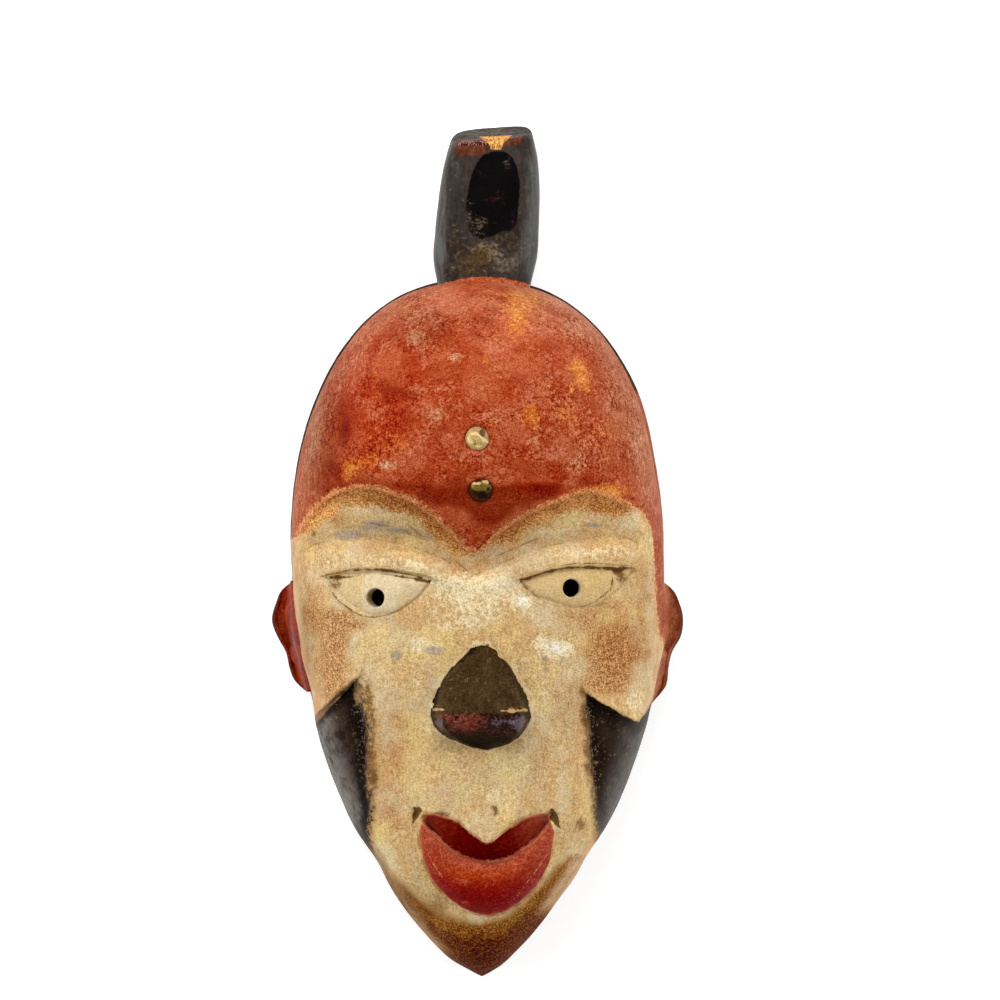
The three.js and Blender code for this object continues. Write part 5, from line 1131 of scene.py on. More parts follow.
def red_paint(r):
    g, up, down, n1, n2 = r.crumbs()
    sand = r.attr("sand")
    c = r.mix(r.ramp(r.add(r.attr("tone"), r.mul(n2, 0.35)), -0.35, 0.35), srgb(164, 64, 32), srgb(181, 89, 56))
    pink = r.ramp(r.add(r.attr("lump"), r.mul(n2, 0.75), r.mul(n1, 0.2)), 0.12, 0.5)
    c = r.mix(r.mul(pink, 0.62), c, srgb(196, 112, 84))
    dusk = r.ramp(r.add(r.attr("lump_b"), r.mul(n2, 0.75), r.mul(n1, 0.2)), 0.2, 0.6)
    c = r.mix(r.mul(dusk, 0.6), c, srgb(144, 50, 22))
    haze = r.ramp(r.add(r.attr("haze"), r.mul(n2, 0.6), r.mul(n1, 0.15)), 0.2, 1.0)
    c = r.mix(r.mul(haze, 0.78), c, srgb(194, 134, 98))
    c = r.mix(r.mul(r.ramp(r.add(r.attr("haze"), r.mul(n2, 0.8), r.mul(n1, 0.25)), 1.0, 1.4), 0.75), c, srgb(216, 174, 150))
    deep = r.ramp(r.add(r.attr("deep"), r.mul(n2, 0.45), r.mul(n1, 0.1)), 0.2, 0.9)
    c = r.mix(r.mul(deep, 0.92), c, srgb(118, 30, 6))
    orange = r.ramp(r.add(r.attr("orange"), r.mul(n2, 0.5), r.mul(n1, 0.15)), 0.3, 0.85)
    c = r.mix(r.mul(orange, 0.8), c, srgb(204, 112, 50))
    c = r.mix(r.mul(r.ramp(r.add(r.attr("orange"), r.mul(n2, 0.6), r.mul(n1, 0.2)), 0.85, 1.2), 0.75), c, srgb(226, 150, 74))
    # dry drag marks towards the sides, and fine cracks
    drag = r.noise(1.0, 1, 0.6, 10, stretch=(1.0, 0.16, 0.5))
    sides = r.ramp(r.attr("edge"), 20, 2)
    c = r.mix(r.mul(sides, 0.45), c, srgb(158, 98, 68))
    vein = r.mul(r.line(r.shift(r.noise(3.2, 1.0, 0.6, 12), 1.0, -0.5), 0.012, 0.04), r.ramp(r.add(sand, r.mul(r.attr("lump"), 0.4)), 0.35, 0.85))
    lum = r.add(r.mul(n1, r.blend(sand, 0.03, 0.07)), r.mul(n2, r.blend(sand, 0.04, 0.1)), r.mul(up, r.blend(haze, 0.04, 0.06)), r.mul(down, r.blend(deep, -0.075, -0.03)),
                r.mul(r.shift(drag, 1.0, -0.5), r.mul(sides, 0.34)), r.mul(vein, -0.12))
    return grain_and_painted_shade(r, c, lum), r.ramp(sand, 0.0, 1.0, 0.5, 0.66)


def grain_and_painted_shade(r, colour, amount):
    """Grain, then the painted light and shade over the face, and its greyer parts."""
    c = r.lift(colour, r.add(amount, r.attr("shade")))
    return r.lift(c, r.attr("cool"), (0.0, 1.0, 1.1))


def cream_paint(r):
    g, up, down, n1, n2 = r.crumbs()
    eye = r.ramp(r.add(r.attr("eye"), r.mul(n2, 0.3)), -0.2, 0.9)
    c = r.mix(r.ramp(r.add(r.attr("tone"), r.mul(n2, 0.3)), -0.4, 0.4), srgb(207, 168, 114), srgb(217, 192, 150))
    c = r.mix(r.ramp(r.add(r.attr("lump_b"), r.mul(n2, 0.6)), 0.0, 0.6, 0, 0.65), c, srgb(201, 160, 116))
    c = r.mix(r.ramp(r.add(r.attr("tone_b"), r.mul(n2, 0.4), r.mul(r.attr("lump_c"), 0.3)), 0.0, 0.5, 0, 0.7), c, srgb(224, 194, 128))
    c = r.mix(r.ramp(r.add(r.attr("tone_c"), r.mul(n2, 0.4), r.mul(r.attr("lump"), 0.3)), 0.1, 0.5, 0, 0.5), c, srgb(198, 170, 128))
    # white paint, and painted highlight on the ridges over the lids
    white_and_highlight = r.ramp(r.add(r.attr("white_and_highlight"), r.mul(n2, 0.55), r.mul(n1, 0.15)), 0.1, 0.65)
    c = r.mix(r.mul(white_and_highlight, 0.85), c, srgb(232, 214, 174))
    brown = r.ramp(r.add(r.attr("brown"), r.mul(n2, 0.55), r.mul(n1, 0.2)), 0.15, 0.95)
    c = r.mix(r.mul(brown, 0.82), c, srgb(177, 128, 80))
    c = r.mix(r.mul(eye, 0.8), c, r.mix(r.ramp(r.add(r.attr("tone_c"), r.mul(n2, 0.3)), -0.4, 0.4), srgb(212, 186, 134), srgb(222, 204, 166)))
    c = r.mix(r.mul(eye, r.ramp(r.attr("ear_side"), 0.7, 0.3), 0.6), c, srgb(208, 172, 112))
    fresh = r.ramp(r.add(r.attr("white_and_highlight"), r.mul(n2, 0.55), r.mul(n1, 0.25)), 0.8, 1.1)
    c = r.mix(r.mul(fresh, 0.9), c, srgb(238, 228, 206))
    blue = r.ramp(r.add(r.attr("blue"), r.mul(n2, 0.5), r.mul(n1, 0.25)), 0.4, 0.95)
    c = r.mix(r.mul(blue, 0.66), c, srgb(156, 142, 134))
    # dark brown in corners and recesses: partly grime, partly painted shade
    grime_and_shade = r.ramp(r.add(r.attr("grime_and_shade"), r.mul(n2, 0.5), r.mul(n1, 0.35)), 0.32, 0.95)
    c = r.mix(r.mul(grime_and_shade, 0.88), c, r.mix(r.ramp(r.attr("grime_and_shade"), 0.9, 1.5), srgb(104, 70, 36), srgb(44, 28, 14)))
    hair = r.mul(r.line(r.shift(r.noise(4.2, 0, 0.5, 5, stretch=(1.0, 0.4, 1.0)), 1.0, -0.5), 0.004, 0.012), r.ramp(r.attr("lump_b"), 0.0, 0.4))
    brush = r.noise(0.9, 1, 0.6, 11, stretch=(1.0, 0.22, 1.0))
    lum = r.add(r.mul(n1, r.blend(brown, 0.058, 0.085)), r.mul(n2, 0.08), r.mul(up, r.blend(brown, 0.03, 0.10)), r.mul(down, r.blend(brown, -0.06, -0.13)), r.mul(hair, -0.08), r.mul(r.shift(brush, 1.0, -0.5), 0.16))
    return grain_and_painted_shade(r, c, r.mul(lum, r.blend(eye, 1.0, 0.6))), r.blend(brown, 0.62, 0.55)


def black_paint(r):
    g, up, down, n1, n2 = r.crumbs()
    mid = r.attr("lump")
    c = r.mix(r.ramp(mid, -0.5, 0.5), srgb(30, 20, 13), srgb(54, 41, 31))
    dust = r.ramp(r.add(r.attr("lump_b"), r.mul(n2, 0.9)), 0.1, 0.9)
    c = r.mix(r.mul(dust, 0.35), c, srgb(92, 76, 60))
    nick = r.ramp(r.add(n2, r.mul(n1, 0.3)), 0.36, 0.5)
    c = r.mix(r.mul(nick, 0.6), c, r.mix(r.ramp(r.attr("tone_b"), -0.3, 0.3), srgb(116, 84, 60), srgb(128, 118, 106)))
    c = r.lift(c, r.add(r.mul(n1, 0.03), r.mul(n2, 0.05)))
    return c, r.ramp(mid, -0.5, 0.5, 0.26, 0.42)


def mixed(r, t, a, b):
    return r.mix(t, a[0], b[0]), r.blend(t, a[1], b[1])


def face_material(mat):
    r = Recipe(mat)
    g, up, down, n1, n2 = r.crumbs()
    red, cream, black = red_paint(r), cream_paint(r), black_paint(r)
    brow = r.attr("brow")
    wob = r.add(r.mul(n2, 0.6), r.mul(n1, 0.3))
    # a brown band under the brow's edge, partly dirt and partly painted shade under the overhang, darkest right under
    # the edge; then cream
    under = r.ramp(r.add(brow, r.attr("no_brow_band"), r.mul(r.attr("lump"), 2.6), r.mul(r.attr("tone_b"), 2.2), r.mul(wob, 3.4)), 4.6, 9.2)
    # painted shade right under the brow's edge: the band is darkest next to the edge
    shade_under_brow = r.ramp(r.add(brow, r.mul(wob, 2.2), r.mul(r.attr("dirt_and_shade"), -2.4)), 0.4, 5.6)
    dirt_and_shade_c = r.mix(r.ramp(r.add(r.attr("dirt_and_shade"), r.mul(n2, 1.0), r.mul(n1, 0.2)), -0.4, 0.9), srgb(222, 162, 96), srgb(172, 108, 54))
    dirt_and_shade_c = r.mix(r.mul(r.math("SUBTRACT", 1.0, shade_under_brow), 0.7), dirt_and_shade_c, srgb(136, 78, 36))
    dirt_and_shade_c = r.lift(dirt_and_shade_c, grain(r, 0.08, 0.11, 0.15, 0.13))
    c = (r.mix(under, dirt_and_shade_c, cream[0]), r.blend(under, 0.62, cream[1]))
    over = r.ramp(r.add(brow, r.mul(wob, 1.2)), -0.5, 0.6)
    c = mixed(r, over, red, c)
    # the rubbed edge of the brow
    arris = r.mul(r.ramp(r.add(brow, r.mul(wob, 1.6)), -1.3, 0.2), r.ramp(r.add(brow, r.mul(wob, 1.5), r.mul(r.attr("lump_b"), 0.7)), 2.2, 1.1), r.ramp(r.add(r.attr("lump_b"), r.mul(n2, 0.7)), -0.5, 0.15, 0.5, 1.0), r.ramp(r.attr("no_brow_band"), 9.0, 6.0, 0.4, 1.0))
    c = (r.mix(r.mul(arris, 0.85), c[0], r.lift(srgb(210, 138, 88), grain(r, 0.07, 0.12, 0.09, 0.10))), c[1])
    # the turn to the sides is rubbed smooth and pinkish
    low = r.mul(r.ramp(r.attr("edge"), 5.5, 1.0), r.ramp(brow, 0.0, 2.0))
    c = (r.mix(r.mul(low, 0.6), c[0], r.mix(r.ramp(r.attr("lump"), -0.4, 0.4), srgb(190, 138, 98), srgb(214, 180, 140))), c[1])
    crease = r.mul(r.line(r.add(r.attr("crease"), r.mul(wob, 0.3)), 0.15, 0.5), r.ramp(r.attr("lump"), -0.1, 0.4), over)
    c = (r.mix(r.mul(crease, 0.3), c[0], srgb(126, 88, 46)), c[1])

    # chin: brown darkening towards the tip, partly brown paint and partly painted shade where the chin turns under; its
    # left side is painted darker as shade
    at_chin = r.add(r.attr("chin"), r.mul(wob, 3.4))
    chin = r.ramp(at_chin, -2.0, 1.8)
    band = r.mul(r.ramp(at_chin, -1.0, 2.6), r.math("SUBTRACT", 1.0, r.attr("margin")))
    # painted shade: the left side is darker
    side_ = r.mix(r.ramp(r.attr("ear_side"), 0.3, 0.7), srgb(180, 144, 108), srgb(140, 104, 68))
    chin_c = r.mix(r.ramp(r.add(r.attr("lump"), r.mul(n2, 0.4)), -0.5, 0.5), side_, r.lift(side_, 0.09))
    # painted shade: darker farther below the upper line, towards the tip
    depth = r.ramp(r.add(r.attr("chin"), r.mul(r.attr("lump_b"), 3.0), r.mul(n2, 2.0)), 2.0, 9.0)
    chin_c = r.mix(r.mul(band, 0.97), chin_c, r.mix(depth, srgb(134, 84, 28), srgb(88, 39, 4)))
    chin_c = r.lift(chin_c, grain(r, 0.08, 0.09, r.mul(band, 0.12), r.blend(band, 0.05, 0.09)))
    chin_c = grain_and_painted_shade(r, chin_c, 0.0)
    c = (r.mix(chin, c[0], chin_c), r.blend(chin, c[1], 0.85))

    # black jaw sides: painted sheen greys them towards the outline, lighter on the left, and painted shade darkens them
    # by the muzzle's edge
    jaw = r.ramp(r.add(r.attr("panel"), r.mul(wob, r.blend(r.attr("ragged"), 0.9, 5.0))), -0.2, 0.25)
    halo = r.mul(r.ramp(r.add(r.attr("panel"), r.mul(wob, 4.2)), -3.4, 0.4), 0.75, r.attr("ragged"))
    c = (r.mix(halo, c[0], srgb(108, 74, 44)), c[1])
    # painted sheen: the black greys towards the outline
    turn = r.ramp(r.add(r.attr("edge"), r.mul(r.attr("lump"), 2.5), r.mul(n2, 1.5)), 14.5, 1.5)
    side = (r.mix(r.mul(turn, 0.85), black[0], r.lift(r.mix(r.attr("ear_side"), srgb(104, 100, 96), srgb(128, 124, 118)), r.mul(n2, 0.08))), r.blend(turn, black[1], 0.5))
    # painted shade: darkest next to the muzzle's edge
    inner = r.ramp(r.add(r.attr("panel"), r.mul(r.attr("lump_b"), 1.5), r.mul(n2, 1.5)), 6.8, 2.2)
    side = (r.mix(r.mul(inner, r.blend(r.attr("ear_side"), 0.4, 0.9)), side[0], srgb(24, 14, 11)), side[1])
    flake = r.mul(r.ramp(r.add(n2, r.mul(n1, 0.5), r.mul(r.attr("panel"), -0.05)), 0.06, 0.2), r.ramp(r.attr("panel"), 6.5, 3.5), r.ramp(r.attr("edge"), 8.0, 14.0), r.blend(r.attr("ragged"), 0.3, 1.0))
    side = (r.mix(r.mul(flake, r.blend(r.attr("ear_side"), 0.75, 0.5)), side[0], r.mix(r.ramp(r.attr("tone_b"), -0.3, 0.3), srgb(150, 116, 84), srgb(170, 156, 134))), side[1])
    strip = r.ramp(r.add(r.attr("ledge"), r.mul(wob, 1.2)), 4.4, 3.0)
    side = (r.mix(r.mul(strip, 0.8), side[0], r.lift(srgb(158, 114, 84), grain(r, 0.05, 0.09))), side[1])
    c = mixed(r, jaw, c, side)

    # nose: its lower plane darkens towards the base, painted shade under the nose
    nose = r.ramp(r.add(r.attr("nose"), r.mul(wob, 1.0)), -0.2, 0.2)
    olive = r.mix(r.ramp(r.add(r.attr("lump"), r.mul(n2, 0.2)), -0.5, 0.5), srgb(56, 40, 22), srgb(70, 53, 31))
    olive = r.lift(olive, r.add(grain(r, 0.02, 0.035, 0.03, 0.02), r.mul(r.ramp(r.noise(1.3, 2, 0.6, 39, stretch=(1.0, 0.3, 1.0), bend=0.4), 0.6, 0.72), 0.12)))
    # painted shade: darker further below the ridge, towards the nose's base
    shade_under_nose = r.ramp(r.add(r.attr("nose_low"), r.mul(n2, 3.0)), 5.0, 13.0)
    lower = r.mix(r.mul(r.ramp(r.add(r.attr("nred"), r.mul(n2, 0.5)), 0.05, 0.8), 0.92), srgb(50, 28, 22), srgb(118, 56, 42))
    lower = r.mix(r.mul(r.ramp(r.add(r.attr("nblue"), r.mul(n2, 0.7)), 0.35, 0.95), 0.85), lower, srgb(104, 92, 104))
    lower = r.mix(r.mul(r.ramp(r.add(n2, r.mul(n1, 0.35)), 0.34, 0.52), 0.55), lower, srgb(150, 122, 104))
    lower = r.mix(r.mul(r.ramp(r.add(n2, r.mul(n1, 0.35), r.mul(r.attr("lump_b"), 0.4)), -0.3, -0.5), 0.7), lower, srgb(26, 12, 10))
    lower = r.lift(r.mix(r.mul(shade_under_nose, 0.92), lower, srgb(20, 8, 4)), grain(r, 0.05, 0.08, 0.05, 0.04))
    lower = r.mix(r.mul(r.ramp(r.add(r.attr("nose_low"), r.mul(n2, 2.0)), 9.0, 12.0), 0.85), lower, srgb(12, 5, 4))
    at_low = r.ramp(r.add(r.attr("nose_low"), r.mul(wob, 0.6)), -0.4, 0.5)
    nc = r.mix(at_low, olive, lower)
    rim_ = r.ramp(r.add(r.attr("nose"), r.mul(wob, 2.6), r.mul(r.attr("lump"), 1.6)), 2.3, 0.5)
    specks = r.ramp(r.add(n2, r.mul(n1, 0.5)), 0.45, 0.62)
    nc = r.mix(r.mul(rim_, 0.8), nc, r.mix(r.mul(specks, 0.6), r.lift(srgb(18, 12, 8), grain(r, 0.05, 0.05)), srgb(150, 124, 90)))
    ring = r.mul(r.line(r.add(r.attr("nose"), r.mul(wob, 1.4), 1.3), 0.3, 1.1), r.ramp(r.add(r.attr("lump_c"), r.mul(n2, 0.6)), -0.4, 0.3))
    c = (r.mix(r.mul(ring, 0.6), c[0], srgb(230, 214, 176)), c[1])
    c = (r.mix(nose, c[0], nc), r.blend(nose, c[1], r.blend(at_low, 0.5, 0.36)))

    # mouth: the lower lip darkens to deep red towards its lower part, and the upper lip towards the middle of the
    # recess, painted shade where they face down and in the recess
    lips = r.ramp(r.add(r.attr("lips"), r.mul(wob, 0.5)), -0.18, 0.18)
    low_lip = r.ramp(r.attr("lip_low"), -0.3, 0.3)
    # painted shade: the lower lip is darker towards its lower part, which faces down
    down_ = r.ramp(r.add(r.attr("lip_low"), r.mul(n2, 2.0), r.mul(r.attr("tone_b"), 2.0)), 5.5, 17.0)
    mid_ = r.ramp(r.add(r.attr("lip_low"), r.mul(n2, 1.5), r.mul(r.attr("tone_b"), 2.0)), 1.0, 8.0)
    lc = r.mix(down_, r.mix(mid_, srgb(160, 72, 50), r.mix(r.ramp(r.attr("lip_out"), 0.35, 0.85), srgb(172, 62, 26), srgb(158, 58, 38))), srgb(122, 4, 0))
    # painted shade: the recess is darkest in its middle
    up_c = r.mix(r.ramp(r.add(r.attr("lip_out"), r.mul(n2, 0.1)), 0.25, 1.0), srgb(112, 9, 4), srgb(176, 84, 60))
    mc = r.mix(low_lip, up_c, lc)
    mc = r.mix(r.ramp(r.add(r.attr("lump"), r.mul(n2, 0.7)), 0.1, 0.9, 0, 0.5), mc, srgb(190, 88, 60))
    mc = r.lift(mc, r.mul(grain(r, 0.05, 0.09, 0.045, 0.045), r.blend(low_lip, 0.6, 1.0)))
    chipped = r.mul(r.line(r.add(r.attr("lip_low"), r.mul(wob, 1.8), -0.3), 0.4, 0.5), r.ramp(r.add(r.attr("lump_b"), r.mul(n2, 1.3)), -0.25, 0.2))
    mc = r.mix(r.mul(chipped, 0.75), mc, srgb(206, 136, 100))
    # painted shadow in a dark line just behind the lower lip's edge
    shade_behind_lip = r.mul(r.line(r.add(r.attr("lip_low"), r.mul(wob, 0.7), 0.7), 0.15, 0.4), r.ramp(r.add(r.attr("lump"), r.mul(n2, 0.9)), -0.1, 0.3))
    mc = r.mix(r.mul(shade_behind_lip, 0.7), mc, srgb(66, 16, 8))
    c = (r.mix(lips, c[0], mc), r.blend(lips, c[1], 0.42))
    lip_edge_ = r.mul(r.line(r.add(r.attr("lips"), r.mul(wob, 0.5), 0.4), 0.3, 0.6), r.ramp(r.attr("lump"), -0.3, 0.3))
    c = (r.mix(r.mul(lip_edge_, 0.5), c[0], srgb(128, 72, 40)), c[1])
    peach = r.mul(r.line(r.add(r.attr("lips"), r.mul(wob, 0.9), -0.25), 0.25, 0.45), r.ramp(r.add(r.attr("lump_b"), r.mul(n2, 1.3)), -0.25, 0.2), r.ramp(r.attr("lip_low"), 0.5, -0.5, 0.35, 1.0))
    c = (r.mix(r.mul(peach, 0.75), c[0], srgb(212, 146, 102)), c[1])

    # lines
    line = c[0]
    # painted shade in a soft band along the upper lids
    lid_shade = r.mul(r.ramp(r.math("ABSOLUTE", r.attr("lid")), 1.9, 0.1), r.ramp(r.attr("lid_w"), 0.02, 0.14), r.ramp(r.add(n2, r.mul(n1, 0.4)), -0.5, 0.5, 0.35, 1.0))
    line = r.mix(r.mul(lid_shade, 0.42), line, srgb(146, 106, 56))
    line = r.mix(r.mul(r.drawn("under", wob, 1.2), r.ramp(r.add(n2, r.mul(n1, 0.5)), -0.35, 0.1, 0.3, 0.85)), line, srgb(120, 84, 44))
    line = r.mix(r.mul(r.drawn("cut_a", wob), 0.6), line, srgb(124, 92, 62))
    # painted shadow lines in the folds by the lids and in the mouth's corner nicks, then the lid lines, partly painted
    # shadow under the lids' step
    line = r.mix(r.mul(r.drawn("fold", wob, 1.2), 0.85), line, srgb(88, 60, 26))
    line = r.mix(r.mul(r.drawn("lid", wob, 1.45), 0.85), line, srgb(88, 58, 28))
    # pale lines on carved edges: worn paint and painted highlight
    line = r.mix(r.mul(r.drawn("pale", wob), 0.8), line, srgb(208, 170, 120))
    r.finish(line, c[1], r.mul(g, 0.28), 0.035, 1.3)


def crest_material(mat):
    r = Recipe(mat)
    g, up, down, n1, n2 = r.crumbs()
    wob = r.add(r.mul(n2, 0.6), r.mul(n1, 0.3))
    long = r.noise(1.6, 2, 0.6, 53, stretch=(1.0, 0.2, 1.0))
    c = r.mix(r.ramp(r.add(r.attr("tone"), r.mul(n2, 0.2)), -0.5, 0.5), srgb(50, 43, 39), srgb(66, 58, 53))
    # painted sheen down the side facets
    c = r.mix(r.mul(r.ramp(r.add(r.attr("crest_sheen"), r.mul(r.shift(long, 1.0, -0.5), 0.7)), 0.1, 1.15), 0.9), c, srgb(92, 96, 96))
    scuff = r.ramp(r.add(r.attr("scuff"), r.mul(n2, 0.7)), 0.1, 1.1)
    c = r.mix(r.mul(scuff, 0.9), c, r.mix(r.ramp(r.add(n2, r.attr("tone")), -0.4, 0.5), srgb(86, 68, 44), srgb(124, 113, 96)))
    c = r.lift(c, r.add(r.mul(n1, 0.02), r.mul(n2, r.blend(scuff, 0.03, 0.12)), r.mul(r.shift(long, 1.0, -0.5), 0.1)))
    # the dark oval on the front: a painted reflection
    oval = r.ramp(r.add(r.attr("oval"), r.mul(wob, r.blend(r.ramp(r.attr("fleck"), 0.15, 0.6), 0.9, 4.0))), -0.2, 0.3)
    blot = r.ramp(r.add(r.attr("wine"), r.mul(n2, 0.7)), 0.3, 1.0)
    c = r.mix(r.mul(oval, 0.97), c, r.lift(r.mix(r.mul(blot, 0.8), srgb(8, 4, 3), srgb(54, 26, 28)), r.mul(n2, 0.02)))
    fleck = r.ramp(r.add(r.attr("fleck"), r.mul(n2, 1.1), r.mul(n1, 0.5), r.mul(r.shift(long, 1.0, -0.5), 0.8)), 0.45, 1.25)
    cross = r.ramp(r.noise(1.1, 2, 0.6, 55, stretch=(0.45, 1.3, 1.0)), 0.38, 0.62, 0.15, 1.0)
    c = r.mix(r.mul(fleck, cross, 0.8), c, r.mix(r.ramp(r.attr("tone_b"), -0.3, 0.3), srgb(112, 98, 78), srgb(116, 104, 100)))
    top = r.ramp(r.add(r.attr("top_cut"), r.mul(wob, 0.4)), -0.2, 0.5)
    tc = r.mix(r.ramp(r.add(r.attr("lump_b"), r.mul(n2, 0.4)), -0.4, 0.4), srgb(58, 48, 42), srgb(84, 78, 72))
    c = r.mix(r.mul(top, 0.9), c, r.lift(tc, r.mul(r.shift(long, 1.0, -0.5), 0.5)))
    redt = r.ramp(r.add(r.attr("red_top"), r.mul(wob, 0.6)), -0.2, 0.4)
    c = r.mix(r.mul(redt, 0.85), c, r.lift(srgb(84, 26, 14), r.add(r.mul(r.ramp(r.noise(0.8, 0, 0.5, 54, stretch=(1.2, 0.14, 1.0)), 0.5, 0.66), 0.45), -0.08)))
    worn = r.ramp(r.add(r.attr("worn_top"), r.mul(wob, 0.9)), -0.3, 0.4)
    c = r.mix(r.mul(worn, 0.85), c, r.lift(srgb(98, 50, 30), r.add(r.mul(n2, 0.1), r.mul(r.shift(long, 1.0, -0.5), 0.3))))
    chip = r.math("MAXIMUM", r.shape([(478.5, 134.2), (512.5, 133.6), (504, 143), (489, 144.5)]), r.shape([(487.5, 141), (504.5, 141), (501, 150), (491, 149.6)]))
    chip = r.mul(r.ramp(r.add(chip, r.mul(wob, 0.8)), -0.3, 0.5), r.ramp(r.attr("high"), 16, 20))
    cc = r.mix(r.ramp(r.noise(0.8, 0, 0.5, 54, stretch=(1.2, 0.14, 1.0)), 0.36, 0.64), srgb(166, 108, 46), srgb(230, 176, 104))
    c = r.mix(chip, c, r.lift(cc, r.mul(n2, 0.15)))
    foot = r.ramp(r.add(r.attr("foot"), r.mul(wob, 0.7)), -0.2, 0.3)
    c = r.mix(foot, c, r.lift(srgb(176, 84, 52), grain(r, 0.05, 0.09, 0.05, 0.06)))
    rough = r.blend(oval, r.blend(scuff, 0.42, 0.6), 0.55)
    rough = r.blend(top, rough, 0.75)
    rough = r.blend(chip, rough, 0.8)
    r.finish(c, rough, r.add(r.mul(g, 0.08), r.mul(scuff, g, 0.25)), 0.05)


def ear_material(mat):
    r = Recipe(mat)
    g, up, down, n1, n2 = r.crumbs()
    mid = r.attr("lump")
    # the left ear is made darker: painted shade
    left = r.ramp(r.attr("ear_side"), 0.3, 0.7)
    c = r.mix(r.ramp(r.add(mid, r.mul(n2, 0.5)), -0.5, 0.6), r.mix(left, srgb(144, 72, 48), srgb(118, 26, 3)), r.mix(left, srgb(178, 106, 70), srgb(148, 58, 22)))
    c = r.lift(c, grain(r, 0.035, 0.06, 0.03, 0.04))
    rim = r.ramp(r.add(r.attr("ear_out"), r.mul(n1, 0.05), r.mul(n2, 0.06)), 0.84, 0.96)
    c = r.mix(r.mul(rim, 0.85), c, srgb(52, 36, 28))
    back = r.ramp(r.attr("high"), 21.5, 19.5)
    c = r.mix(back, c, r.mix(r.ramp(mid, -0.5, 0.5), srgb(32, 22, 17), srgb(64, 42, 30)))
    r.finish(c, r.ramp(mid, -0.5, 0.5, 0.36, 0.52), r.mul(g, 0.16), 0.08)


def wood_material(mat, pale, deep, tint, shine=0.6, grainy=1.0):
    r = Recipe(mat)
    g, up, down, n1, n2 = r.crumbs()
    long = r.noise(1.5, 3, 0.6, 71, stretch=(1.0, 0.07, 1.0), bend=0.3)
    wide = r.noise(7, 2, 0.5, 72, stretch=(1.0, 0.12, 1.0))
    c = r.mix(r.ramp(wide, 0.34, 0.66), deep, pale)
    c = r.mix(r.ramp(long, 0.44, 0.62, 0, 0.7), c, tint)
    c = r.mix(r.mul(r.ramp(r.attr("tone"), 0.0, 0.7), 0.6), c, srgb(58, 38, 24))
    c = r.mix(r.mul(down, 0.3 * grainy), c, srgb(40, 26, 16))
    r.finish(c, r.ramp(wide, 0.3, 0.7, shine, shine + 0.18), r.add(r.mul(long, 0.35 * grainy), r.mul(g, 0.12)), 0.3)


def hole_material(mat):
    r = Recipe(mat)
    g, up, down, n1, n2 = r.crumbs()
    # painted shade: the wall turns near-black deeper down the hole
    deep = r.ramp(r.add(r.attr("sunk"), r.mul(n2, 1.0)), 7.5, 9.5)
    c = r.mix(r.ramp(r.add(r.attr("sunk"), r.mul(n2, 1.5)), -0.3, 1.6), srgb(216, 186, 138), r.mix(r.ramp(r.attr("lump"), -0.4, 0.4), srgb(170, 152, 112), srgb(204, 196, 170)))
    c = r.lift(c, grain(r, 0.03, 0.1, 0.0, 0.05))
    r.finish(r.mix(r.mul(deep, 0.97), c, srgb(14, 9, 6)), r.blend(deep, 0.66, 0.74), r.mul(g, 0.2), 0.05)


def band_material(mat):
    r = Recipe(mat)
    g, up, down, n1, n2 = r.crumbs()
    c, rough = black_paint(r)
    worn = r.ramp(r.add(r.attr("lump_b"), r.mul(n2, 0.6), r.ramp(r.attr("high"), 5, 0, 0, 0.35)), 0.35, 0.75)
    wood = r.mix(r.ramp(r.noise(1.5, 2, 0.6, 75, stretch=(1, 0.1, 1)), 0.4, 0.6), srgb(82, 54, 34), srgb(120, 84, 54))
    c = r.mix(r.mul(r.ramp(r.add(r.attr("tone"), r.mul(n2, 0.5)), -0.5, 0.3), 0.7), c, srgb(78, 60, 40))
    c = r.mix(r.mul(worn, 0.8), c, wood)
    run = r.mul(r.ramp(r.add(r.attr("run"), r.mul(n1, 0.3)), 0.5, 0.9), r.ramp(r.add(r.attr("high"), r.mul(n2, 3.0)), 15.5, 19.5))
    c = r.mix(r.mul(run, 0.9), c, r.lift(srgb(172, 100, 74), r.mul(n2, 0.1)))
    r.finish(c, r.blend(worn, rough, 0.65), r.mul(g, 0.12), 0.06)


face_material(materials[PAINT])
band_material(materials[BAND])
wood_material(materials[RIM], srgb(150, 112, 74), srgb(108, 76, 46), srgb(84, 58, 36))
wood_material(materials[INSIDE], srgb(134, 96, 62), srgb(92, 62, 38), srgb(70, 46, 28))
ear_material(materials[EAR])
crest_material(materials[POST])
hole_material(materials[CUT])

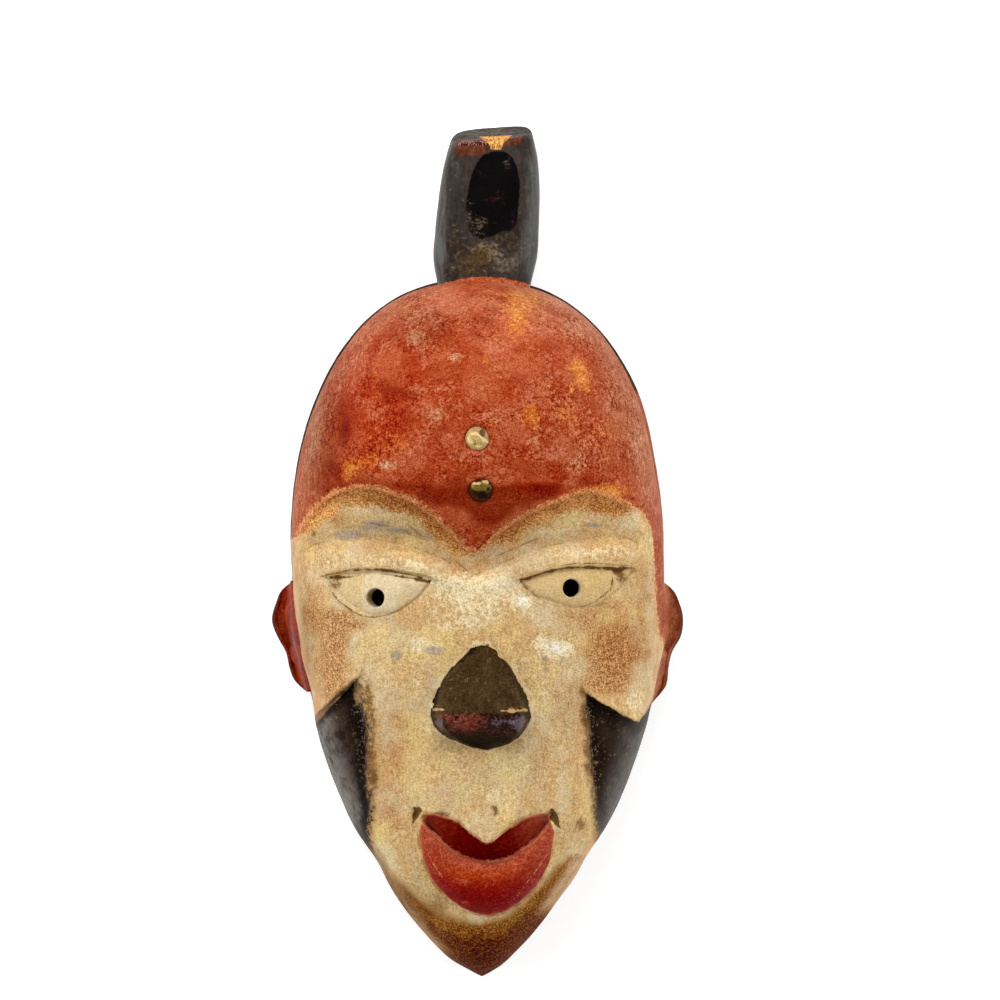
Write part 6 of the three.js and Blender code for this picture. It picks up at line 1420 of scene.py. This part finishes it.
# ---------------------------------------------------------------- the two tacks
def tack(name, centre, seat, n, low_one):
    """A domed brass head, dented and tarnished, on a tapered shank."""
    n = n / np.linalg.norm(n)
    x = np.cross([0, 1, 0], n); x = x / np.linalg.norm(x)
    y = np.cross(n, x)
    sides = 96
    a = np.arange(sides) / sides * 2 * math.pi
    R = TACK_RADIUS
    rows = [(R * math.sin(t), TACK_RISE * math.cos(t) ** 0.9) for t in np.linspace(0.06, math.pi / 2 - 0.03, 26)]
    rows += [(R, 0.06), (R - 0.08, -0.22), (R - 0.35, -0.35), (R - 1.2, -0.28), (TACK_SHANK + 0.3, -0.2), (TACK_SHANK, -0.5)]
    rows += [(TACK_SHANK * k, -TACK_LENGTH * h) for k, h in ((0.98, 0.2), (0.95, 0.4), (0.9, 0.6), (0.8, 0.8), (0.55, 0.93))]
    rings, plan = [], []
    for rad, h in rows:
        head_ = np.array([rad * np.cos(a), rad * np.sin(a)])
        bx, by = head_
        out = np.ones(sides)
        if rad > 1.4:
            wander = 0.03 * noise(np.stack([np.cos(a) * 2.2, np.sin(a) * 2.2, np.full(sides, 3.0 + low_one)], axis=1), 1.0, 91)
            ang = np.degrees(a) % 360
            if low_one:
                wander = wander - 0.09 * bell(ang, 88, 8) - 0.13 * bell(ang, 118, 22)
            else:
                wander = wander - 0.05 * bell(ang, 262, 10) - 0.035 * bell(ang, 232, 9) + 0.03 * bell(ang, 350, 14)
            out = 1 + wander * smooth(R * 0.35, R, rad)
        bx, by = bx * out, by * out
        z = np.full(sides, float(h))
        if h > 0.05:
            p = np.stack([bx, by, np.full(sides, 7.0 * low_one)], axis=1)
            z = z + (0.16 * noise(p, 1.6, 92) + 0.07 * noise(p, 0.8, 93)) * smooth(0.0, 0.6, h)
            if low_one:
                z = z - 0.5 * np.exp(-(((bx - 2.8) / 0.9) ** 2) - ((by - 0.9) / 0.8) ** 2) - 0.35 * np.exp(-(((bx + 1.2) / 0.8) ** 2) - ((by + 1.6) / 0.9) ** 2)
                z = z - 0.9 * np.exp(-(((bx - 0.4) / 0.5) ** 2) - ((by - 4.3) / 1.2) ** 2)
            else:
                z = z - 1.15 * np.exp(-(((bx - 2.2) / 1.15) ** 2) - ((by - 2.3) / 1.7) ** 2)  # dented corner
                crease = (bx - 0.4) * 0.62 + (by - 1.4) * 0.78
                z = z + 0.3 * np.exp(-((crease / 0.32) ** 2)) - 0.25 * smooth(0.2, 1.0, crease)
                z = z - 0.3 * np.exp(-(((bx + 0.8) / 0.45) ** 2) - ((by + 2.2) / 0.5) ** 2) - 0.22 * np.exp(-(((bx - 0.6) / 0.5) ** 2) - ((by + 1.2) / 0.35) ** 2)
            z = np.maximum(z, 0.08)
        rings.append(np.asarray(seat) + z[:, None] * n + bx[:, None] * x + by[:, None] * y)
        plan.append(np.stack([bx, by, z], axis=1))
    top = float(plan[0][:, 2].mean())
    pos, tri, _ = lathed(np.asarray(seat) + top * n, rings, np.asarray(seat) - TACK_LENGTH * n, [0] * (len(rings) + 1), flip=False)
    plan = np.vstack([[[0, 0, top]]] + plan + [[[0, 0, -TACK_LENGTH]]])
    mat = bpy.data.materials.new(name + "_brass")
    ob = mesh_of(name, pos, tri, None, [mat])
    me = ob.data
    tx, ty, tz = plan.T
    on = tz > 0.03
    rosy = np.zeros_like(tx)
    # bright marks painted highlights and glints, olive the tarnish, dim painted shade in the dents and low places
    if low_one:
        bright = np.maximum(spots(tx, ty, [(-2.2, 2.9, 1.5, 0.55, 1.0), (-3.4, 1.9, 0.7, 0.7, 0.7), (1.7, 3.6, 1.3, 0.6, 1.3), (2.6, 2.9, 0.8, 0.6, 0.7), (-0.6, 3.0, 0.8, 0.5, 0.8)]), 0)
        olive = spots(tx, ty, [(-0.6, 1.5, 4.2, 1.7, 1.0), (2.8, 1.5, 1.5, 1.2, 0.8), (3.2, 0.3, 0.9, 0.6, 0.5), (0.2, 3.0, 1.4, 1.2, 0.8), (-1.5, -2.8, 1.0, 0.6, 0.5), (2.4, -0.6, 0.8, 0.6, 0.5)])
        dim = spots(tx, ty, [(0.8, -1.8, 2.8, 2.0, 1.0), (3.0, 0.7, 0.9, 0.8, 0.9), (-2.8, -0.6, 1.2, 1.0, 0.6), (0.2, 2.1, 0.5, 0.4, 0.7), (-1.6, 2.2, 0.5, 0.4, 0.7)])
    else:
        ridge = np.exp(-((((tx - 0.4) * 0.62 + (ty - 1.4) * 0.78) / 0.4) ** 2)) * smooth(-3.6, -2.6, tx - ty * 0.8)
        bright = ridge + spots(tx, ty, [(-3.2, -0.2, 0.8, 1.5, 0.9), (-2.2, -1.8, 1.2, 0.9, 0.7), (0.6, -3.2, 1.6, 0.7, 0.9), (2.8, -1.0, 1.4, 0.8, 0.8), (-1.6, 1.7, 1.4, 0.6, 0.8), (-0.4, 0.2, 2.0, 1.4, 0.45), (1.0, 3.6, 1.6, 0.5, 0.5)])
        olive = spots(tx, ty, [(1.6, -1.8, 1.4, 1.2, 0.8), (-0.6, -1.8, 1.0, 0.9, 0.7), (-0.2, 3.4, 1.2, 1.2, 0.7)])
        dim = spots(tx, ty, [(2.15, 2.2, 1.25, 1.8, 1.5), (-0.9, -2.3, 0.6, 0.4, 0.9), (-0.6, -1.2, 0.5, 0.35, 0.8), (-2.6, -0.8, 0.3, 0.5, 0.8), (-1.4, -0.4, 0.3, 0.5, 0.8), (-3.2, 0.6, 0.3, 0.6, 0.8), (-1.0, 0.9, 0.6, 0.25, 0.7), (0.4, -2.6, 0.7, 0.25, 0.7)])
        rosy = smooth(0.15, 0.7, (tx - 0.4) * 0.62 + (ty - 1.4) * 0.78) * on
    at = me.attributes.new("highlight_tarnish_shade", "FLOAT_VECTOR", "POINT")
    at.data.foreach_set("vector", np.stack([bright * on, olive * on, dim * on], axis=1).astype(np.float32).ravel())
    at = me.attributes.new("up", "FLOAT_VECTOR", "POINT")
    at.data.foreach_set("vector", np.stack([tz, np.hypot(tx, ty), rosy], axis=1).astype(np.float32).ravel())
    PACKED.update(bright=("highlight_tarnish_shade", 0), olive=("highlight_tarnish_shade", 1), dim=("highlight_tarnish_shade", 2), rise=("up", 0), rad=("up", 1), rosy=("up", 2))
    r = Recipe(mat)
    f = r.shift(r.noise(0.8, 2.0, 0.6, 3), 2.0, -1.0)
    s = r.shift(r.noise(0.35, 0.0, 0.5, 4), 2.0, -1.0)
    # the lower head is much darker: dark tarnish and painted shade where it faces away from the light
    base = (srgb(208, 176, 114), srgb(168, 136, 78)) if not low_one else (srgb(78, 44, 16), srgb(44, 20, 4))
    c = r.mix(r.ramp(f, -0.4, 0.4), *base)
    c = r.mix(r.mul(r.ramp(r.add(r.attr("olive"), r.mul(f, 0.4)), 0.2, 0.9), 0.85), c, srgb(122, 108, 42) if low_one else srgb(164, 146, 78))
    c = r.mix(r.mul(r.attr("rosy"), 0.7), c, srgb(178, 128, 94))
    c = r.mix(r.mul(r.ramp(r.add(r.attr("dim"), r.mul(f, 0.7)), 0.3, 0.95), 0.9), c, srgb(30, 12, 2) if low_one else srgb(96, 72, 34))
    c = r.mix(r.mul(r.ramp(r.add(r.attr("bright"), r.mul(f, 0.45), r.mul(s, 0.15)), 0.35, 0.8), 0.9), c, srgb(238, 188, 134) if low_one else srgb(240, 208, 150))
    c = r.lift(c, r.add(r.mul(s, 0.09), r.mul(f, 0.09)))
    # painted shadow darkening the rim where the head meets the wood
    edge_ = r.ramp(r.attr("rise"), 0.35, 0.0)
    c = r.mix(r.mul(edge_, 0.5), c, srgb(120, 78, 44) if low_one else srgb(150, 106, 58))
    r.shader.inputs["Metallic"].default_value = 0.2
    r.finish(c, r.ramp(f, -0.5, 0.5, 0.4, 0.6), r.add(r.mul(f, 0.12), r.mul(s, 0.05)), 0.08 if low_one else 0.2)
    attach(ob, "root")
    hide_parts(name[:-5])
    return ob


tack("upper_tack_head", TACK_UPPER, seats[0][0], seats[0][1], False)
tack("lower_tack_head", TACK_LOWER, seats[1][0], seats[1][1], True)

# ---------------------------------------------------------------- floor, light, camera
def plane(name, size, z):
    me = bpy.data.meshes.new(name)
    s = size / 2
    me.from_pydata([(-s, -s, z), (s, -s, z), (s, s, z), (-s, s, z)], [], [(0, 1, 2, 3)])
    ob = bpy.data.objects.new(name, me)
    bpy.context.scene.collection.objects.link(ob)
    return ob


floor = plane("floor", 12, 0.0)
fm = bpy.data.materials.new("floor")
fm.use_nodes = True
fs = fm.node_tree.nodes["Principled BSDF"]
fs.inputs["Base Color"].default_value = (0.72, 0.72, 0.72, 1)
fs.inputs["Roughness"].default_value = 0.95
fs.inputs["Specular IOR Level"].default_value = 0.0
fs.inputs["Emission Color"].default_value = (1, 1, 1, 1)
here = fm.node_tree.nodes.new("ShaderNodeTexCoord")
ring = fm.node_tree.nodes.new("ShaderNodeVectorMath")
ring.operation = "MULTIPLY"
ring.inputs[1].default_value = (1 / 0.062, 1 / 0.115, 0)
fm.node_tree.links.new(here.outputs["Object"], ring.inputs[0])
far_ = fm.node_tree.nodes.new("ShaderNodeVectorMath")
far_.operation = "LENGTH"
fm.node_tree.links.new(ring.outputs[0], far_.inputs[0])
glow = fm.node_tree.nodes.new("ShaderNodeMapRange")
fm.node_tree.links.new(far_.outputs["Value"], glow.inputs["Value"])
for k, v in (("From Min", 0.9), ("From Max", 1.0), ("To Min", 0.0), ("To Max", 0.68)):
    glow.inputs[k].default_value = v
fm.node_tree.links.new(glow.outputs[0], fs.inputs["Emission Strength"])
floor.data.materials.append(fm)

# a soft studio: bright all round near the floor, dim straight overhead
world = bpy.data.worlds.new("studio")
bpy.context.scene.world = world
world.use_nodes = True
wt = world.node_tree
bg = wt.nodes["Background"]
where = wt.nodes.new("ShaderNodeTexCoord")
part = wt.nodes.new("ShaderNodeSeparateXYZ")
wt.links.new(where.outputs["Generated"], part.inputs[0])
level = wt.nodes.new("ShaderNodeMapRange")
level.interpolation_type = "SMOOTHSTEP"
wt.links.new(part.outputs["Z"], level.inputs["Value"])
for k, v in (("From Min", 0.15), ("From Max", 0.95), ("To Min", 0.85), ("To Max", 0.28)):
    level.inputs[k].default_value = v
wt.links.new(level.outputs[0], bg.inputs["Strength"])
bg.inputs["Color"].default_value = (1, 0.995, 0.985, 1)


def area(name, size, power, at, aim):
    li = bpy.data.lights.new(name, "AREA")
    li.shape, li.size, li.energy = "DISK", size, power
    ob = bpy.data.objects.new(name, li)
    bpy.context.scene.collection.objects.link(ob)
    ob.location = at
    ob.rotation_euler = (Vector(aim) - Vector(at)).to_track_quat("-Z", "Y").to_euler()
    return ob


area("key", 1.3, 18, (-0.25, 1.15, 1.3), (0, 0, 0.05))
area("left", 1.0, 5, (-1.4, 0.0, 0.8), (0, 0, 0.05))
area("right", 1.0, 5, (1.4, 0.0, 0.8), (0, 0, 0.05))

camera = bpy.data.cameras.new("camera")
camera.lens, camera.sensor_width = 135, 36
cam = bpy.data.objects.new("camera", camera)
bpy.context.scene.collection.objects.link(cam)
cam.location = ((9.5 + HOME[0]) / 1000, (19.9 + HOME[1]) / 1000, 1.583)
cam.rotation_euler = (0, 0, 0)
bpy.context.scene.camera = cam
bpy.context.scene.view_settings.view_transform = "Standard"
